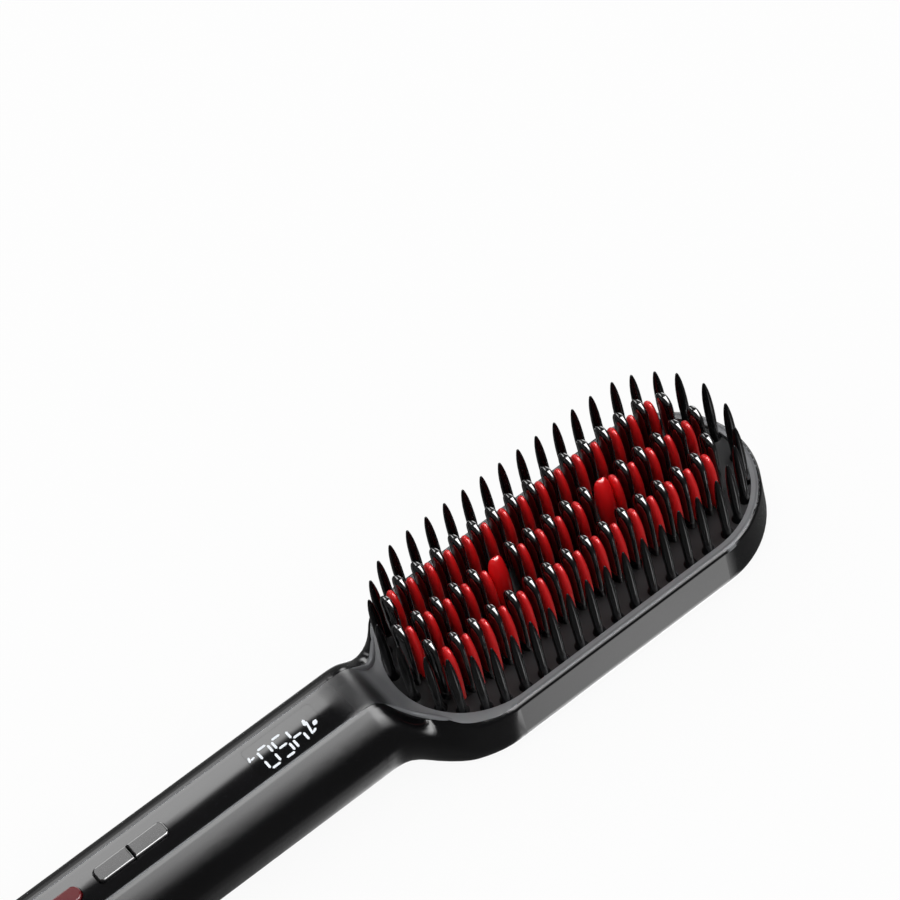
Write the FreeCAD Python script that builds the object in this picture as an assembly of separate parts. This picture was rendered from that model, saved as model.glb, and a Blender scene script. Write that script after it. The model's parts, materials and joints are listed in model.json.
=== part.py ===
import FreeCAD
import Part
import math
import os

V = FreeCAD.Vector

# Driving dimensions, in millimetres. X runs from the tail to the head's tip, Y across, Z up.
# The brush lies on its back: Z = 0 is the surface that it rests on.

# Body
handle_length = 122.5
handle_radius = 17.0
head_radius = 29.0
head_straight = 75.0
neck_length = 38.5
rim_height = 18.7
back_rounding = 5.3
wall = 2.2
strip_half_width = 7.3
strip_crown = 0.35
strip_tail_gap = 12.0
strip_corner = 4.0
cover_thickness = 2.0
seam = 0.15
land_width = 3.0
lip_width = 1.3
overrun = 2.0

# Tail cap and swivel of the lead
cap_thickness = 3.0
cap_rounding = 2.4
cap_skirt_length = 6.0
cap_skirt_wall = 2.0
cap_fit = 0.1
swivel_radius = 6.3
swivel_fit = 0.3
swivel_flange_radius = 9.0
swivel_flange_thickness = 2.0
swivel_end_play = 0.3
cord_radius = 3.0
cord_clearance = 0.4
guard_root_radius = 6.9
guard_tip_radius = 4.4
guard_length = 44.0
guard_smooth_length = 22.0
guard_rib_count = 5
guard_rib_depth = 0.8

# Back of the head
ring_outer_radius = 23.3
ring_inner_radius = 17.2
back_inlay_depth = 1.0
back_inlay_gap = 0.1

# Comb
comb_pitch = 6.7
comb_neck_gap = 16.5
row_spacing = 13.0
frame_top = 17.6
frame_thickness = 2.0
frame_gap = 0.25
tooth_ring_radius = 24.4
tooth_tip_height = 44.4
tooth_radius = 1.3
tooth_belly_radius = 1.5
tooth_point_radius = 0.35
tooth_spigot_radius = 0.7
spigot_length = 1.5
straight_tooth_count = 12
tooth_pitch = 6.69
arch_top = 44.4
arch_half_width = 3.4
arch_foot_half_width = 2.9
arch_thickness = 2.6
tenon_half_width = 1.6
fin_top = 41.6
fin_half_width = 3.3
fin_foot_half_width = 2.3
fin_thickness = 2.2
slot_gap = 0.1
outlet_radius = 2.9
outlet_top = 43.6
outlet_setback = 0.9
outlet_step = 3
outlet_stem_radius = 1.2
outlet_foot_radius = 2.2
outlet_top_radius = 2.4

# Heater under the comb
gasket_thickness = 0.9
gasket_width = 2.0
plate_radius = 25.0
plate_thickness = 3.0
ptc_length = 30.0
ptc_width = 20.0
ptc_thickness = 2.6
ptc_spacing = 36.0
mica_thickness = 0.5
mica_margin = 0.4
clamp_thickness = 1.2
clamp_half_width = 15.0
clamp_overhang = 2.0
post_radius = 3.2
post_offset = 20.2
post_spacing = 36.0
screw_radius = 1.25
screw_head_radius = 2.4
screw_head_height = 0.7
screw_length = 8.0
screw_fit = 0.05
clamp_screw_offset = 12.0
clamp_screw_spacing = 20.0
clamp_screw_bite = 2.0
sensor_radius = 1.6
sensor_length = 9.0
fuse_radius = 2.0
fuse_length = 12.0
sensor_offset = 17.0

# Electronics in the handle
board_half_width = 11.0
board_thickness = 1.6
board_top = 25.2
board_tail_gap = 21.0
board_neck_gap = 5.5
rail_height = 1.6
rail_half_gap = 9.2
switch_size = 6.0
switch_plunger_radius = 1.6
switch_plunger_height = 0.4
switch_gap = 0.15
display_length = 24.0
display_half_width = 5.2
display_corner = 1.2
window_thickness = 1.2
window_gap = 0.05
window_ledge = 0.8
display_neck_gap = 20.5
ion_length = 24.0
ion_half_width = 7.0
ion_height = 9.0
ion_neck_gap = 12.0
terminal_length = 10.0
terminal_half_width = 6.0
terminal_bottom = 12.0
capacitor_radius = 4.5
capacitor_length = 16.0
triac_length = 10.0
triac_half_width = 5.0
triac_height = 4.5
lead_radius = 0.9
lead_offset = 8.2
lead_neck_gap = 8.0
lead_bend = 4.0

# Buttons
button_half_width = 2.6
pad_length = 24.0
pad_spacing = 23.0
pad_split = 0.4
pad_corner = 1.5
power_length = 11.0
power_tail_gap = 25.5
power_corner = 2.4
button_rise = 1.1
button_gap = 0.3
button_travel = 0.6
button_flange = 1.2
button_flange_thickness = 0.8
button_flange_gap = 0.1
button_edge = 0.5

# Lead, put away in a coil behind the tail
coil_inner_radius = 24.6
coil_pitch = 6.7
coil_layers = 4
coil_layer_turns = 1.75
coil_climb_turns = 0.5
coil_start_angle = 50.0
coil_end_angle = 273.0
coil_lift = 1.1
lead_end_straight = 14.0
lead_fall_length = 46.0
tie_width = 9.0
tie_thickness = 0.8
tie_gap = 0.3
plug_length = 34.0
plug_half_width = 10.5
plug_half_height = 7.0
plug_corner = 4.0
plug_neck_length = 31.0
plug_neck_radius = 5.0
blade_length = 17.0
blade_width = 6.4
blade_thickness = 1.5
blade_spacing = 12.7

# Shares, chosen by hand, of the sizes that they follow.
# Neck stations: place along the neck, growth of the width and of the front face,
# drop of the front face and of the widest line
neck_station_shares = [
    (0.00, 0.00, 0.00, 0.00, 0.00),
    (0.05, 0.00, 0.00, 0.00, 0.00),
    (0.16, 0.01, 0.02, 0.08, 0.03),
    (0.26, 0.07, 0.08, 0.44, 0.15),
    (0.38, 0.23, 0.19, 0.92, 0.45),
    (0.51, 0.48, 0.45, 1.00, 0.75),
    (0.63, 0.72, 0.79, 1.00, 0.92),
    (0.80, 0.94, 0.955, 1.00, 0.99),
    (0.95, 1.00, 1.00, 1.00, 1.00),
    (1.00, 1.00, 1.00, 1.00, 1.00),
]
# Places of the guard teeth round each end, as shares of a quarter turn from the long axis
end_tooth_shares = [0.13, 0.363, 0.533, 0.711, 0.867]
tooth_belly_share = 0.4
tooth_shoulder_share = 0.9
tooth_shoulder_width_share = 0.62
arch_spring_share = 0.82
end_arch_share = 0.76
fin_belly_share = 0.55
fin_shoulder_share = 0.86
fin_shoulder_width_share = 0.72
outlet_belly_share = 0.55
foot_angle = 30.0
cavity_crown_angle = 16.0
# The lead's free stretch from inside the bend guard, as shares of the coil's outer radius along and across
# from the guard's tip, and of the drop from the handle's axis to the coil
lead_route_shares = [
    (0.18, 0.00, 1.00),
    (-0.42, 0.00, 1.00),
    (-0.80, 0.17, 0.64),
    (-1.16, 0.50, 0.00),
]
lead_last_run_share = 0.39
bend_share = 0.45

# Places that follow from the driving dimensions
overall_length = handle_length + neck_length + head_straight + head_radius
tail_x = -overall_length / 2
tip_centre_x = overall_length / 2 - head_radius
neck_centre_x = tip_centre_x - head_straight
neck_start_x = neck_centre_x - neck_length
head_centre_x = (tip_centre_x + neck_centre_x) / 2
handle_axis = handle_radius
strip_edge_height = handle_axis + math.sqrt(handle_radius ** 2 - strip_half_width ** 2)
strip_top = strip_edge_height + strip_crown
cover_opening = head_radius - land_width
comb_neck_x = neck_start_x + comb_neck_gap + cover_opening
rim_underside = rim_height - cover_thickness
frame_bottom = frame_top - frame_thickness
plate_top = frame_bottom - gasket_thickness
plate_bottom = plate_top - plate_thickness
ptc_bottom = plate_bottom - ptc_thickness
mica_bottom = ptc_bottom - mica_thickness
clamp_bottom = mica_bottom - clamp_thickness
board_bottom = board_top - board_thickness
board_start_x = tail_x + board_tail_gap
board_end_x = neck_start_x - board_neck_gap
board_middle_x = (board_start_x + board_end_x) / 2
power_centre = tail_x + power_tail_gap
pad_centre = power_centre + pad_spacing
display_centre = neck_start_x - display_neck_gap
ion_centre = neck_start_x - ion_neck_gap
lead_start = neck_start_x - lead_neck_gap
cap_inner_x = tail_x + cap_thickness
flange_top = strip_edge_height - cover_thickness - button_flange_gap
flange_bottom = flange_top - button_flange_thickness
switch_top = flange_bottom - button_travel - switch_gap
window_bottom = strip_top - window_thickness
guard_start_x = tail_x - swivel_end_play
guard_tip_x = guard_start_x - guard_length
coil_outer_radius = coil_inner_radius + coil_pitch * coil_layer_turns
coil_low_z = coil_lift + cord_radius
coil_high_z = coil_low_z + coil_pitch * (coil_layers - 1)


def mix(start, end, share):
    return start + (end - start) * share


def save(shape, node):
    shape.exportStep("parts/" + node + ".step")
    volume = sum(solid.Volume for solid in shape.Solids)
    print(node, len(shape.Solids), "solids", round(volume, 1), "mm3", shape.isValid())


def group(solids):
    return Part.makeCompound(solids)


def box(x_low, x_high, half_width, z_low, z_high, y_centre=0.0):
    corner = V(x_low, y_centre - half_width, z_low)
    return Part.makeBox(x_high - x_low, 2 * half_width, z_high - z_low, corner)


def rod(radius, length, start, direction):
    return Part.makeCylinder(radius, length, start, direction)


def stadium_prism(neck_x, radius, low, high):
    """Prism of two half circles joined by straight sides, about the head's two centres."""
    near_neck = V(neck_x, -radius, low)
    near_tip = V(tip_centre_x, -radius, low)
    far_tip = V(tip_centre_x, radius, low)
    far_neck = V(neck_x, radius, low)
    edges = [
        Part.LineSegment(near_neck, near_tip).toShape(),
        Part.Arc(near_tip, V(tip_centre_x + radius, 0, low), far_tip).toShape(),
        Part.LineSegment(far_tip, far_neck).toShape(),
        Part.Arc(far_neck, V(neck_x - radius, 0, low), near_neck).toShape(),
    ]
    return Part.Face(Part.Wire(edges)).extrude(V(0, 0, high - low))


def rounded_prism(x_low, x_high, half_width, corner, low, high):
    """Upright prism with rounded corners, lying along the handle."""
    block = box(x_low, x_high, half_width, low, high)
    upright = [edge for edge in block.Edges if abs(edge.Vertexes[0].Z - edge.Vertexes[-1].Z) > seam]
    return block.makeFillet(corner, upright)


def heading(degrees):
    turn = math.radians(degrees)
    return V(0, math.cos(turn), math.sin(turn))


def bend(start, start_dir, end, end_dir):
    """Cubic that turns from one direction to the other as a circular arc would."""
    turn = start_dir.getAngle(end_dir)
    reach_share = 1 / 3
    if turn > 1e-6:
        reach_share = 2 / 3 * math.tan(turn / 4) / math.sin(turn / 2)
    reach = end.sub(start).Length * reach_share
    curve = Part.BezierCurve()
    curve.setPoles([start, start + start_dir * reach, end - end_dir * reach, end])
    return curve.toShape()


def body_station(shares, side, top_drop):
    """Edge of the front face, widest point and foot of one section through the body."""
    along, width, front, drop, lower = shares
    x = neck_start_x + along * neck_length
    floor = -side
    tube = handle_radius + side
    lean = math.radians(foot_angle)
    edge = V(
        x,
        mix(strip_half_width, head_radius, front) + side,
        mix(strip_edge_height, rim_height, drop) - top_drop,
    )
    widest = V(x, mix(handle_radius, head_radius, width) + side, mix(handle_axis, back_rounding, lower))
    foot = V(
        x,
        mix(tube * math.sin(lean), head_radius - back_rounding, lower),
        mix(handle_axis - tube * math.cos(lean), floor, lower),
    )
    return edge, widest, foot


def flip(point):
    return V(point.x, -point.y, point.z)


def back(direction):
    return V(0, direction.y, -direction.z)


def upright_at_end(start, end):
    """Direction in which an arc leaves start so that it runs straight down at end."""
    slope = math.degrees(math.atan2(end.z - start.z, end.y - start.y))
    return heading(2 * slope + 90)


def body_section(shares, side, top_drop, crown_angle, lip):
    """Closed section: crown, rounded lip, shoulder, side and bottom, the same on both sides."""
    corner, widest, foot = body_station(shares, side, top_drop)
    under = heading(2 * math.degrees(math.atan2(foot.z + side, foot.y)) - 180)
    crown = heading(-crown_angle * (1 - shares[3]))
    down = heading(-90)
    up = heading(90)
    inner = corner - crown * lip
    edge = corner + upright_at_end(corner, widest) * lip
    shoulder = upright_at_end(edge, widest)
    return Part.Wire([
        bend(flip(inner), back(crown), inner, crown),
        bend(inner, crown, edge, shoulder),
        bend(edge, shoulder, widest, down),
        bend(widest, down, foot, under),
        bend(foot, under, flip(foot), back(under)),
        bend(flip(foot), back(under), flip(widest), up),
        bend(flip(widest), up, flip(edge), back(shoulder)),
        bend(flip(edge), back(shoulder), flip(inner), back(crown)),
    ])


def head_end(side, top_drop, lip):
    """Half of the head's section, turned about the tip's centre."""
    corner, widest, foot = body_station(neck_station_shares[-1], side, top_drop)
    shift = V(head_straight, 0, 0)
    corner, widest, foot = corner + shift, widest + shift, foot + shift
    inner = corner - heading(0) * lip
    edge = corner + heading(-90) * lip
    middle_low = V(foot.x, 0, foot.z)
    middle_high = V(corner.x, 0, corner.z)
    wire = Part.Wire([
        Part.LineSegment(middle_high, inner).toShape(),
        bend(inner, heading(0), edge, heading(-90)),
        Part.LineSegment(edge, widest).toShape(),
        bend(widest, heading(-90), foot, heading(-180)),
        Part.LineSegment(foot, middle_low).toShape(),
        Part.LineSegment(middle_low, middle_high).toShape(),
    ])
    return Part.Face(wire).revolve(V(tip_centre_x, 0, 0), V(0, 0, 1), -180)


def body_solid(side, top_drop, tail_end, crown_angle, lip):
    """The body's outer form, grown by side, with its front face lowered by top_drop."""
    sections = [body_section(shares, side, top_drop, crown_angle, lip) for shares in neck_station_shares]
    handle = Part.Face(sections[0]).extrude(V(tail_end - neck_start_x, 0, 0))
    neck = Part.makeLoft(sections, True, False)
    head = Part.Face(sections[-1]).extrude(V(head_straight, 0, 0))
    return handle.fuse([neck, head, head_end(side, top_drop, lip)]).removeSplitter()


def front_outline(extra, low, high):
    """Plan of the front cover: strip, S-shaped flare at the neck and the head inside its lip."""
    strip_x = tail_x + strip_tail_gap - extra
    half = strip_half_width + extra
    outer = head_radius - lip_width + extra
    flare = [V(neck_start_x, -half, low)]
    for shares in neck_station_shares[2:8]:
        edge, _, _ = body_station(shares, extra, 0.0)
        flare.append(V(edge.x, lip_width * shares[3] - edge.y, low))
    flare.append(V(neck_centre_x, -outer, low))
    curve = Part.BSplineCurve()
    curve.interpolate(Points=flare, InitialTangent=V(1, 0, 0), FinalTangent=V(1, 0, 0))
    near_flare = curve.toShape()
    corner = strip_corner
    diagonal = corner * (1 - math.sqrt(0.5))
    near = [
        Part.LineSegment(V(strip_x, 0, low), V(strip_x, corner - half, low)).toShape(),
        Part.Arc(
            V(strip_x, corner - half, low),
            V(strip_x + diagonal, diagonal - half, low),
            V(strip_x + corner, -half, low),
        ).toShape(),
        Part.LineSegment(V(strip_x + corner, -half, low), flare[0]).toShape(),
        near_flare,
        Part.LineSegment(flare[-1], V(tip_centre_x, -outer, low)).toShape(),
    ]
    tip = Part.Arc(
        V(tip_centre_x, -outer, low),
        V(tip_centre_x + outer, 0, low),
        V(tip_centre_x, outer, low),
    ).toShape()
    far = [edge.mirror(V(0, 0, 0), V(0, 1, 0)) for edge in near]
    ordered = Part.sortEdges(near + [tip] + far)[0]
    return Part.Face(Part.Wire(ordered)).extrude(V(0, 0, high - low))


def crown_of_strip():
    return math.degrees(2 * math.atan(strip_crown / strip_half_width))


def handle_prism(section, x_low, x_high):
    """Piece of the handle between two places, over one of its sections."""
    section.translate(V(x_low - neck_start_x, 0, 0))
    return Part.Face(section).extrude(V(x_high - x_low, 0, 0))


def post_places():
    along = [head_centre_x - post_spacing, head_centre_x, head_centre_x + post_spacing]
    return [(x, y) for x in along for y in (-post_offset, post_offset)]


def build_body():
    """Housing and cover, before the openings for the pieces that they carry."""
    crown = crown_of_strip()
    outer = body_solid(0.0, 0.0, cap_inner_x, crown, lip_width)
    cavity = body_solid(-wall, cover_thickness / 2, cap_inner_x - overrun, cavity_crown_angle, seam)
    under = body_solid(overrun * 2, cover_thickness, tail_x - overrun, crown, lip_width)
    cover = outer.common(front_outline(0.0, 0.0, tooth_tip_height)).cut(under)
    slot = front_outline(seam, 0.0, tooth_tip_height).cut(under)
    housing = outer.cut(cavity).cut(slot)
    return outer, housing, cover


def finish_housing(housing):
    """Posts for the heater, rails for the board and the shallow pocket in the back."""
    up = V(0, 0, 1)
    height = plate_bottom - back_inlay_depth
    posts = [rod(post_radius, height, V(x, y, back_inlay_depth), up) for x, y in post_places()]
    rail_half = (handle_radius - wall - rail_half_gap) / 2
    rail_y = rail_half_gap + rail_half
    rail_low = board_bottom - rail_height
    rails = [box(board_start_x, board_end_x, rail_half, rail_low, board_bottom, y) for y in (-rail_y, rail_y)]
    pilot_low = plate_top - screw_length
    pilot_radius = screw_radius + screw_fit
    pilots = [rod(pilot_radius, screw_length, V(x, y, pilot_low), up) for x, y in post_places()]
    pocket = stadium_prism(neck_centre_x, ring_outer_radius + back_inlay_gap, -overrun, back_inlay_depth)
    return housing.fuse(posts + rails).cut(pilots + [pocket])


def button_blank(x_low, x_high, rounded_ends, corner, low, high, grow):
    """Upright prism of a button's plan, with rounded corners at the named ends."""
    block = box(x_low, x_high, button_half_width + grow, low, high)
    upright = []
    for edge in block.Edges:
        first, last = edge.Vertexes[0].Point, edge.Vertexes[-1].Point
        at_end = min(abs(first.x - end) for end in rounded_ends) < seam
        if at_end and abs(first.z - last.z) > seam:
            upright.append(edge)
    return block.makeFillet(corner, upright)


def button(x_low, x_high, rounded_ends, corner, flange_low, flange_high):
    """Key with a softened top edge and the flange that keeps it under the strip."""
    top = strip_top + button_rise
    key = button_blank(x_low, x_high, rounded_ends, corner, flange_bottom, top, 0.0)
    rim = [edge for edge in key.Edges if min(vertex.Z for vertex in edge.Vertexes) > top - seam]
    key = key.makeFillet(button_edge, rim)
    flange = box(x_low - flange_low, x_high + flange_high, button_half_width + button_flange,
                 flange_bottom, flange_top)
    return key.fuse(flange).removeSplitter()


def button_well(x_low, x_high, corner):
    """Hole through the strip in which keys slide."""
    low, high = x_low - button_gap, x_high + button_gap
    return button_blank(low, high, [low, high], corner + button_gap,
                        flange_bottom, strip_top + overrun, button_gap)


def window_prism(shrink, low, high):
    half_length = display_length / 2 - shrink
    return rounded_prism(display_centre - half_length, display_centre + half_length,
                         display_half_width - shrink, display_corner, low, high)


def finish_cover(cover):
    """Comb opening, wells for the keys and the stepped seat of the display window."""
    opening = stadium_prism(comb_neck_x, cover_opening, plate_top, tooth_tip_height)
    pad_well = button_well(pad_centre - pad_length / 2, pad_centre + pad_length / 2, pad_corner)
    power_well = button_well(power_centre - power_length / 2, power_centre + power_length / 2, power_corner)
    seat = window_prism(-window_gap, window_bottom, strip_top + overrun)
    light_hole = window_prism(window_ledge, flange_bottom, strip_top + overrun)
    return cover.cut([opening, pad_well, power_well, seat, light_hole])


def tail_cap():
    """Rounded end of the handle with a skirt that plugs into the tube."""
    along = V(1, 0, 0)
    disc = rod(handle_radius, cap_thickness, V(tail_x, 0, handle_axis), along)
    rim = [edge for edge in disc.Edges if abs(edge.BoundBox.XMax - tail_x) < seam]
    outside = body_section(neck_station_shares[0], 0.0, 0.0, crown_of_strip(), lip_width)
    disc = disc.makeFillet(cap_rounding, rim).common(handle_prism(outside, tail_x - overrun, cap_inner_x))
    skirt_end_x = cap_inner_x + cap_skirt_length
    inside = body_section(neck_station_shares[0], -wall - cap_fit, cover_thickness / 2 + cap_fit,
                          cavity_crown_angle, seam)
    skirt = handle_prism(inside, cap_inner_x, skirt_end_x)
    skirt_bore = handle_radius - wall - cap_fit - cap_skirt_wall
    skirt = skirt.cut(rod(skirt_bore, cap_skirt_length, V(cap_inner_x, 0, handle_axis), along))
    hole_start = V(tail_x - overrun, 0, handle_axis)
    hole = rod(swivel_radius + swivel_fit, cap_thickness + overrun * 2, hole_start, along)
    return disc.fuse(skirt).cut(hole)


def swivel_bush():
    """Flanged sleeve that turns in the tail cap."""
    along = V(1, 0, 0)
    flange_x = cap_inner_x + swivel_end_play
    end_x = flange_x + swivel_flange_thickness
    sleeve = rod(swivel_radius, end_x - guard_start_x, V(guard_start_x, 0, handle_axis), along)
    flange = rod(swivel_flange_radius, swivel_flange_thickness, V(flange_x, 0, handle_axis), along)
    bore = rod(cord_radius + cord_clearance, end_x - guard_start_x, V(guard_start_x, 0, handle_axis), along)
    return sleeve.fuse(flange).cut(bore).removeSplitter()


def bend_guard():
    """Tapered rubber sleeve, smooth at the root and ringed towards its tip."""
    rib_pitch = (guard_length - guard_smooth_length) / guard_rib_count
    profile = [(0.0, cord_radius + cord_clearance), (0.0, guard_root_radius - guard_rib_depth)]
    profile.append((guard_rib_depth, guard_root_radius))
    for index in range(guard_rib_count):
        start = guard_smooth_length + index * rib_pitch
        outside = mix(guard_root_radius, guard_tip_radius, start / guard_length)
        profile.append((start, outside))
        profile.append((start, outside - guard_rib_depth))
        profile.append((start + rib_pitch / 2, outside - guard_rib_depth))
        profile.append((start + rib_pitch / 2, outside))
    profile.append((guard_length, guard_tip_radius))
    profile.append((guard_length, cord_radius + cord_clearance))
    points = [V(guard_start_x - along, 0, handle_axis + radius) for along, radius in profile]
    face = Part.Face(Part.makePolygon(points + points[:1]))
    return face.revolve(V(0, 0, handle_axis), V(1, 0, 0), 360)


def outline_plate(points, thickness, x, y):
    """Upright plate from half of a symmetric outline of lines and arcs, its middle at x and y."""
    place = V(x - thickness / 2, y, 0)
    edges = []
    for kind, path in points:
        shifted = [place + V(0, across, up) for across, up in path]
        if kind == "line":
            edges.append(Part.LineSegment(shifted[0], shifted[1]).toShape())
        else:
            edges.append(Part.Arc(shifted[0], shifted[1], shifted[2]).toShape())
    return Part.Face(Part.Wire(edges)).extrude(V(thickness, 0, 0))


def mirrored(points):
    turned = []
    for kind, path in reversed(points):
        turned.append((kind, [(-across, up) for across, up in reversed(path)]))
    return turned


def guard_arch(x, y):
    """Black arch with a tenon that is staked into the frame."""
    low = frame_top - spigot_length
    spring = mix(frame_top, arch_top, arch_spring_share)
    side = [
        ("line", [(tenon_half_width, low), (tenon_half_width, frame_top)]),
        ("line", [(tenon_half_width, frame_top), (arch_foot_half_width, frame_top)]),
        ("line", [(arch_foot_half_width, frame_top), (arch_half_width, spring)]),
    ]
    top = [("arc", [(arch_half_width, spring), (0.0, arch_top), (-arch_half_width, spring)])]
    foot = [("line", [(-tenon_half_width, low), (tenon_half_width, low)])]
    return outline_plate(side + top + mirrored(side) + foot, arch_thickness, x, y)


def heating_fin(x, y):
    """Petal-shaped fin that stands on the heater plate and passes through the frame."""
    belly = mix(frame_top, fin_top, fin_belly_share)
    shoulder = mix(frame_top, fin_top, fin_shoulder_share)
    shoulder_half = fin_half_width * fin_shoulder_width_share
    side = [
        ("line", [(fin_foot_half_width, plate_top), (fin_foot_half_width, frame_top)]),
        ("arc", [(fin_foot_half_width, frame_top), (fin_half_width, belly), (shoulder_half, shoulder)]),
    ]
    top = [("arc", [(shoulder_half, shoulder), (0.0, fin_top), (-shoulder_half, shoulder)])]
    foot = [("line", [(-fin_foot_half_width, plate_top), (fin_foot_half_width, plate_top)])]
    return outline_plate(side + top + mirrored(side) + foot, fin_thickness, x, y)


def turned(edges, x, y):
    """Solid of revolution about an upright axis from edges in radius and height."""
    shapes = []
    for path in edges:
        points = [V(x + radius, y, up) for radius, up in path]
        curve = Part.LineSegment(points[0], points[1])
        if len(points) == 3:
            curve = Part.Arc(points[0], points[1], points[2])
        shapes.append(curve.toShape())
    return Part.Face(Part.Wire(shapes)).revolve(V(x, y, 0), V(0, 0, 1), 360)


def guard_tooth(x, y):
    """Spear-shaped tooth of the outer ring, with a spigot in the frame."""
    low = frame_top - spigot_length
    belly = mix(frame_top, tooth_tip_height, tooth_belly_share)
    shoulder = mix(frame_top, tooth_tip_height, tooth_shoulder_share)
    shoulder_radius = tooth_belly_radius * tooth_shoulder_width_share
    point = tooth_tip_height - tooth_point_radius
    return turned([
        [(0.0, low), (tooth_spigot_radius, low)],
        [(tooth_spigot_radius, low), (tooth_spigot_radius, frame_top)],
        [(tooth_spigot_radius, frame_top), (tooth_radius, frame_top)],
        [(tooth_radius, frame_top), (tooth_belly_radius, belly), (shoulder_radius, shoulder)],
        [(shoulder_radius, shoulder), (tooth_point_radius, point)],
        [(tooth_point_radius, point), (0.0, tooth_tip_height)],
        [(0.0, tooth_tip_height), (0.0, low)],
    ], x, y)


def ion_outlet(x):
    """Egg-shaped outlet on a stem through the frame."""
    belly = mix(frame_top, outlet_top, outlet_belly_share)
    dome = outlet_top - outlet_top_radius
    diagonal = outlet_top_radius * math.sqrt(0.5)
    return turned([
        [(0.0, frame_bottom), (outlet_stem_radius, frame_bottom)],
        [(outlet_stem_radius, frame_bottom), (outlet_stem_radius, frame_top)],
        [(outlet_stem_radius, frame_top), (outlet_foot_radius, frame_top)],
        [(outlet_foot_radius, frame_top), (outlet_radius, belly), (outlet_top_radius, dome)],
        [(outlet_top_radius, dome), (diagonal, dome + diagonal), (0.0, outlet_top)],
        [(0.0, outlet_top), (0.0, frame_bottom)],
    ], x, 0.0)


def tooth_places():
    """Guard teeth along both straight sides and round both ends."""
    places = []
    for share in end_tooth_shares:
        turn = math.radians(90 * share)
        reach, across = tooth_ring_radius * math.cos(turn), tooth_ring_radius * math.sin(turn)
        for side in (-across, across):
            places += [(tip_centre_x + reach, side), (comb_neck_x - reach, side)]
    last_turn = math.radians(90 * end_tooth_shares[-1])
    first_x = comb_neck_x - tooth_ring_radius * math.cos(last_turn) + tooth_pitch
    for index in range(straight_tooth_count - 1):
        x = first_x + index * tooth_pitch
        places += [(x, -tooth_ring_radius), (x, tooth_ring_radius)]
    return places


def row_places(steps, y):
    return [(head_centre_x + comb_pitch * step, y) for step in steps]


def arch_places():
    """Guard arches in three rows, with one more at each end of the outer rows, set in towards the middle."""
    outer = [index + 0.5 for index in range(-7, 7)]
    middle = [index for index in range(-8, 9) if abs(index) != outlet_step]
    ends = [outer[0] - 1, outer[-1] + 1]
    end_offset = row_spacing * end_arch_share
    places = row_places(outer, -row_spacing) + row_places(middle, 0.0) + row_places(outer, row_spacing)
    return places + row_places(ends, -end_offset) + row_places(ends, end_offset)


def fin_places():
    outer = list(range(-7, 8))
    middle = [index + 0.5 for index in range(-8, 8) if abs(index + 0.5) != outlet_step - 0.5]
    return row_places(outer, -row_spacing) + row_places(middle, 0.0) + row_places(outer, row_spacing)


def outlet_places():
    reach = comb_pitch * outlet_step - outlet_setback
    return [head_centre_x - reach, head_centre_x + reach]


def comb_frame():
    """Plate under the rim with a hole or slot for everything that stands in it."""
    up = V(0, 0, 1)
    flange_radius = head_radius - wall - frame_gap
    flange = stadium_prism(comb_neck_x, flange_radius, frame_bottom, rim_underside - frame_gap)
    plate = stadium_prism(comb_neck_x, cover_opening - frame_gap, frame_bottom, frame_top)
    low = frame_top - spigot_length
    hole_radius = tooth_spigot_radius + slot_gap
    holes = [rod(hole_radius, frame_thickness, V(x, y, low), up) for x, y in tooth_places()]
    for x, y in arch_places():
        half = arch_thickness / 2 + slot_gap
        holes.append(box(x - half, x + half, tenon_half_width + slot_gap, low, frame_top, y))
    for x, y in fin_places():
        half = fin_thickness / 2 + slot_gap
        holes.append(box(x - half, x + half, fin_foot_half_width + slot_gap, frame_bottom, frame_top, y))
    for x in outlet_places():
        holes.append(rod(outlet_stem_radius + slot_gap, frame_thickness, V(x, 0, frame_bottom), up))
    return flange.fuse(plate).removeSplitter().cut(holes)


def clamp_screw_places():
    along = [head_centre_x - clamp_screw_spacing, head_centre_x + clamp_screw_spacing]
    return [(x, y) for x in along for y in (-clamp_screw_offset, clamp_screw_offset)]


def heater_plate():
    up = V(0, 0, 1)
    radius = screw_radius + screw_fit
    holes = [rod(radius, plate_thickness, V(x, y, plate_bottom), up) for x, y in post_places()]
    holes += [rod(radius, clamp_screw_bite, V(x, y, plate_bottom), up) for x, y in clamp_screw_places()]
    return stadium_prism(comb_neck_x, plate_radius, plate_bottom, plate_top).cut(holes)


def heater_screw(x, y):
    up = V(0, 0, 1)
    shank = rod(screw_radius, screw_length, V(x, y, plate_top - screw_length), up)
    return shank.fuse(rod(screw_head_radius, screw_head_height, V(x, y, plate_top), up)).removeSplitter()


def clamp_screw(x, y):
    up = V(0, 0, 1)
    shank = rod(screw_radius, plate_bottom + clamp_screw_bite - clamp_bottom, V(x, y, clamp_bottom), up)
    head = rod(screw_head_radius, screw_head_height, V(x, y, clamp_bottom - screw_head_height), up)
    return shank.fuse(head).removeSplitter()


def ptc_ends():
    return [(x - ptc_length / 2, x + ptc_length / 2)
            for x in (head_centre_x - ptc_spacing / 2, head_centre_x + ptc_spacing / 2)]


def heater_clamp():
    """Plate that presses the heaters up, with holes for its four screws."""
    low_x = ptc_ends()[0][0] - clamp_overhang
    high_x = ptc_ends()[-1][1] + clamp_overhang
    radius = screw_radius + screw_fit
    up = V(0, 0, 1)
    holes = [rod(radius, clamp_thickness, V(x, y, clamp_bottom), up) for x, y in clamp_screw_places()]
    return box(low_x, high_x, clamp_half_width, clamp_bottom, mica_bottom).cut(holes)


def mica_sheet():
    return box(ptc_ends()[0][0] - mica_margin, ptc_ends()[-1][1] + mica_margin,
               ptc_width / 2 + mica_margin, mica_bottom, ptc_bottom)


def ion_bottom():
    return handle_axis - math.sqrt((handle_radius - wall) ** 2 - ion_half_width ** 2)


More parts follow.
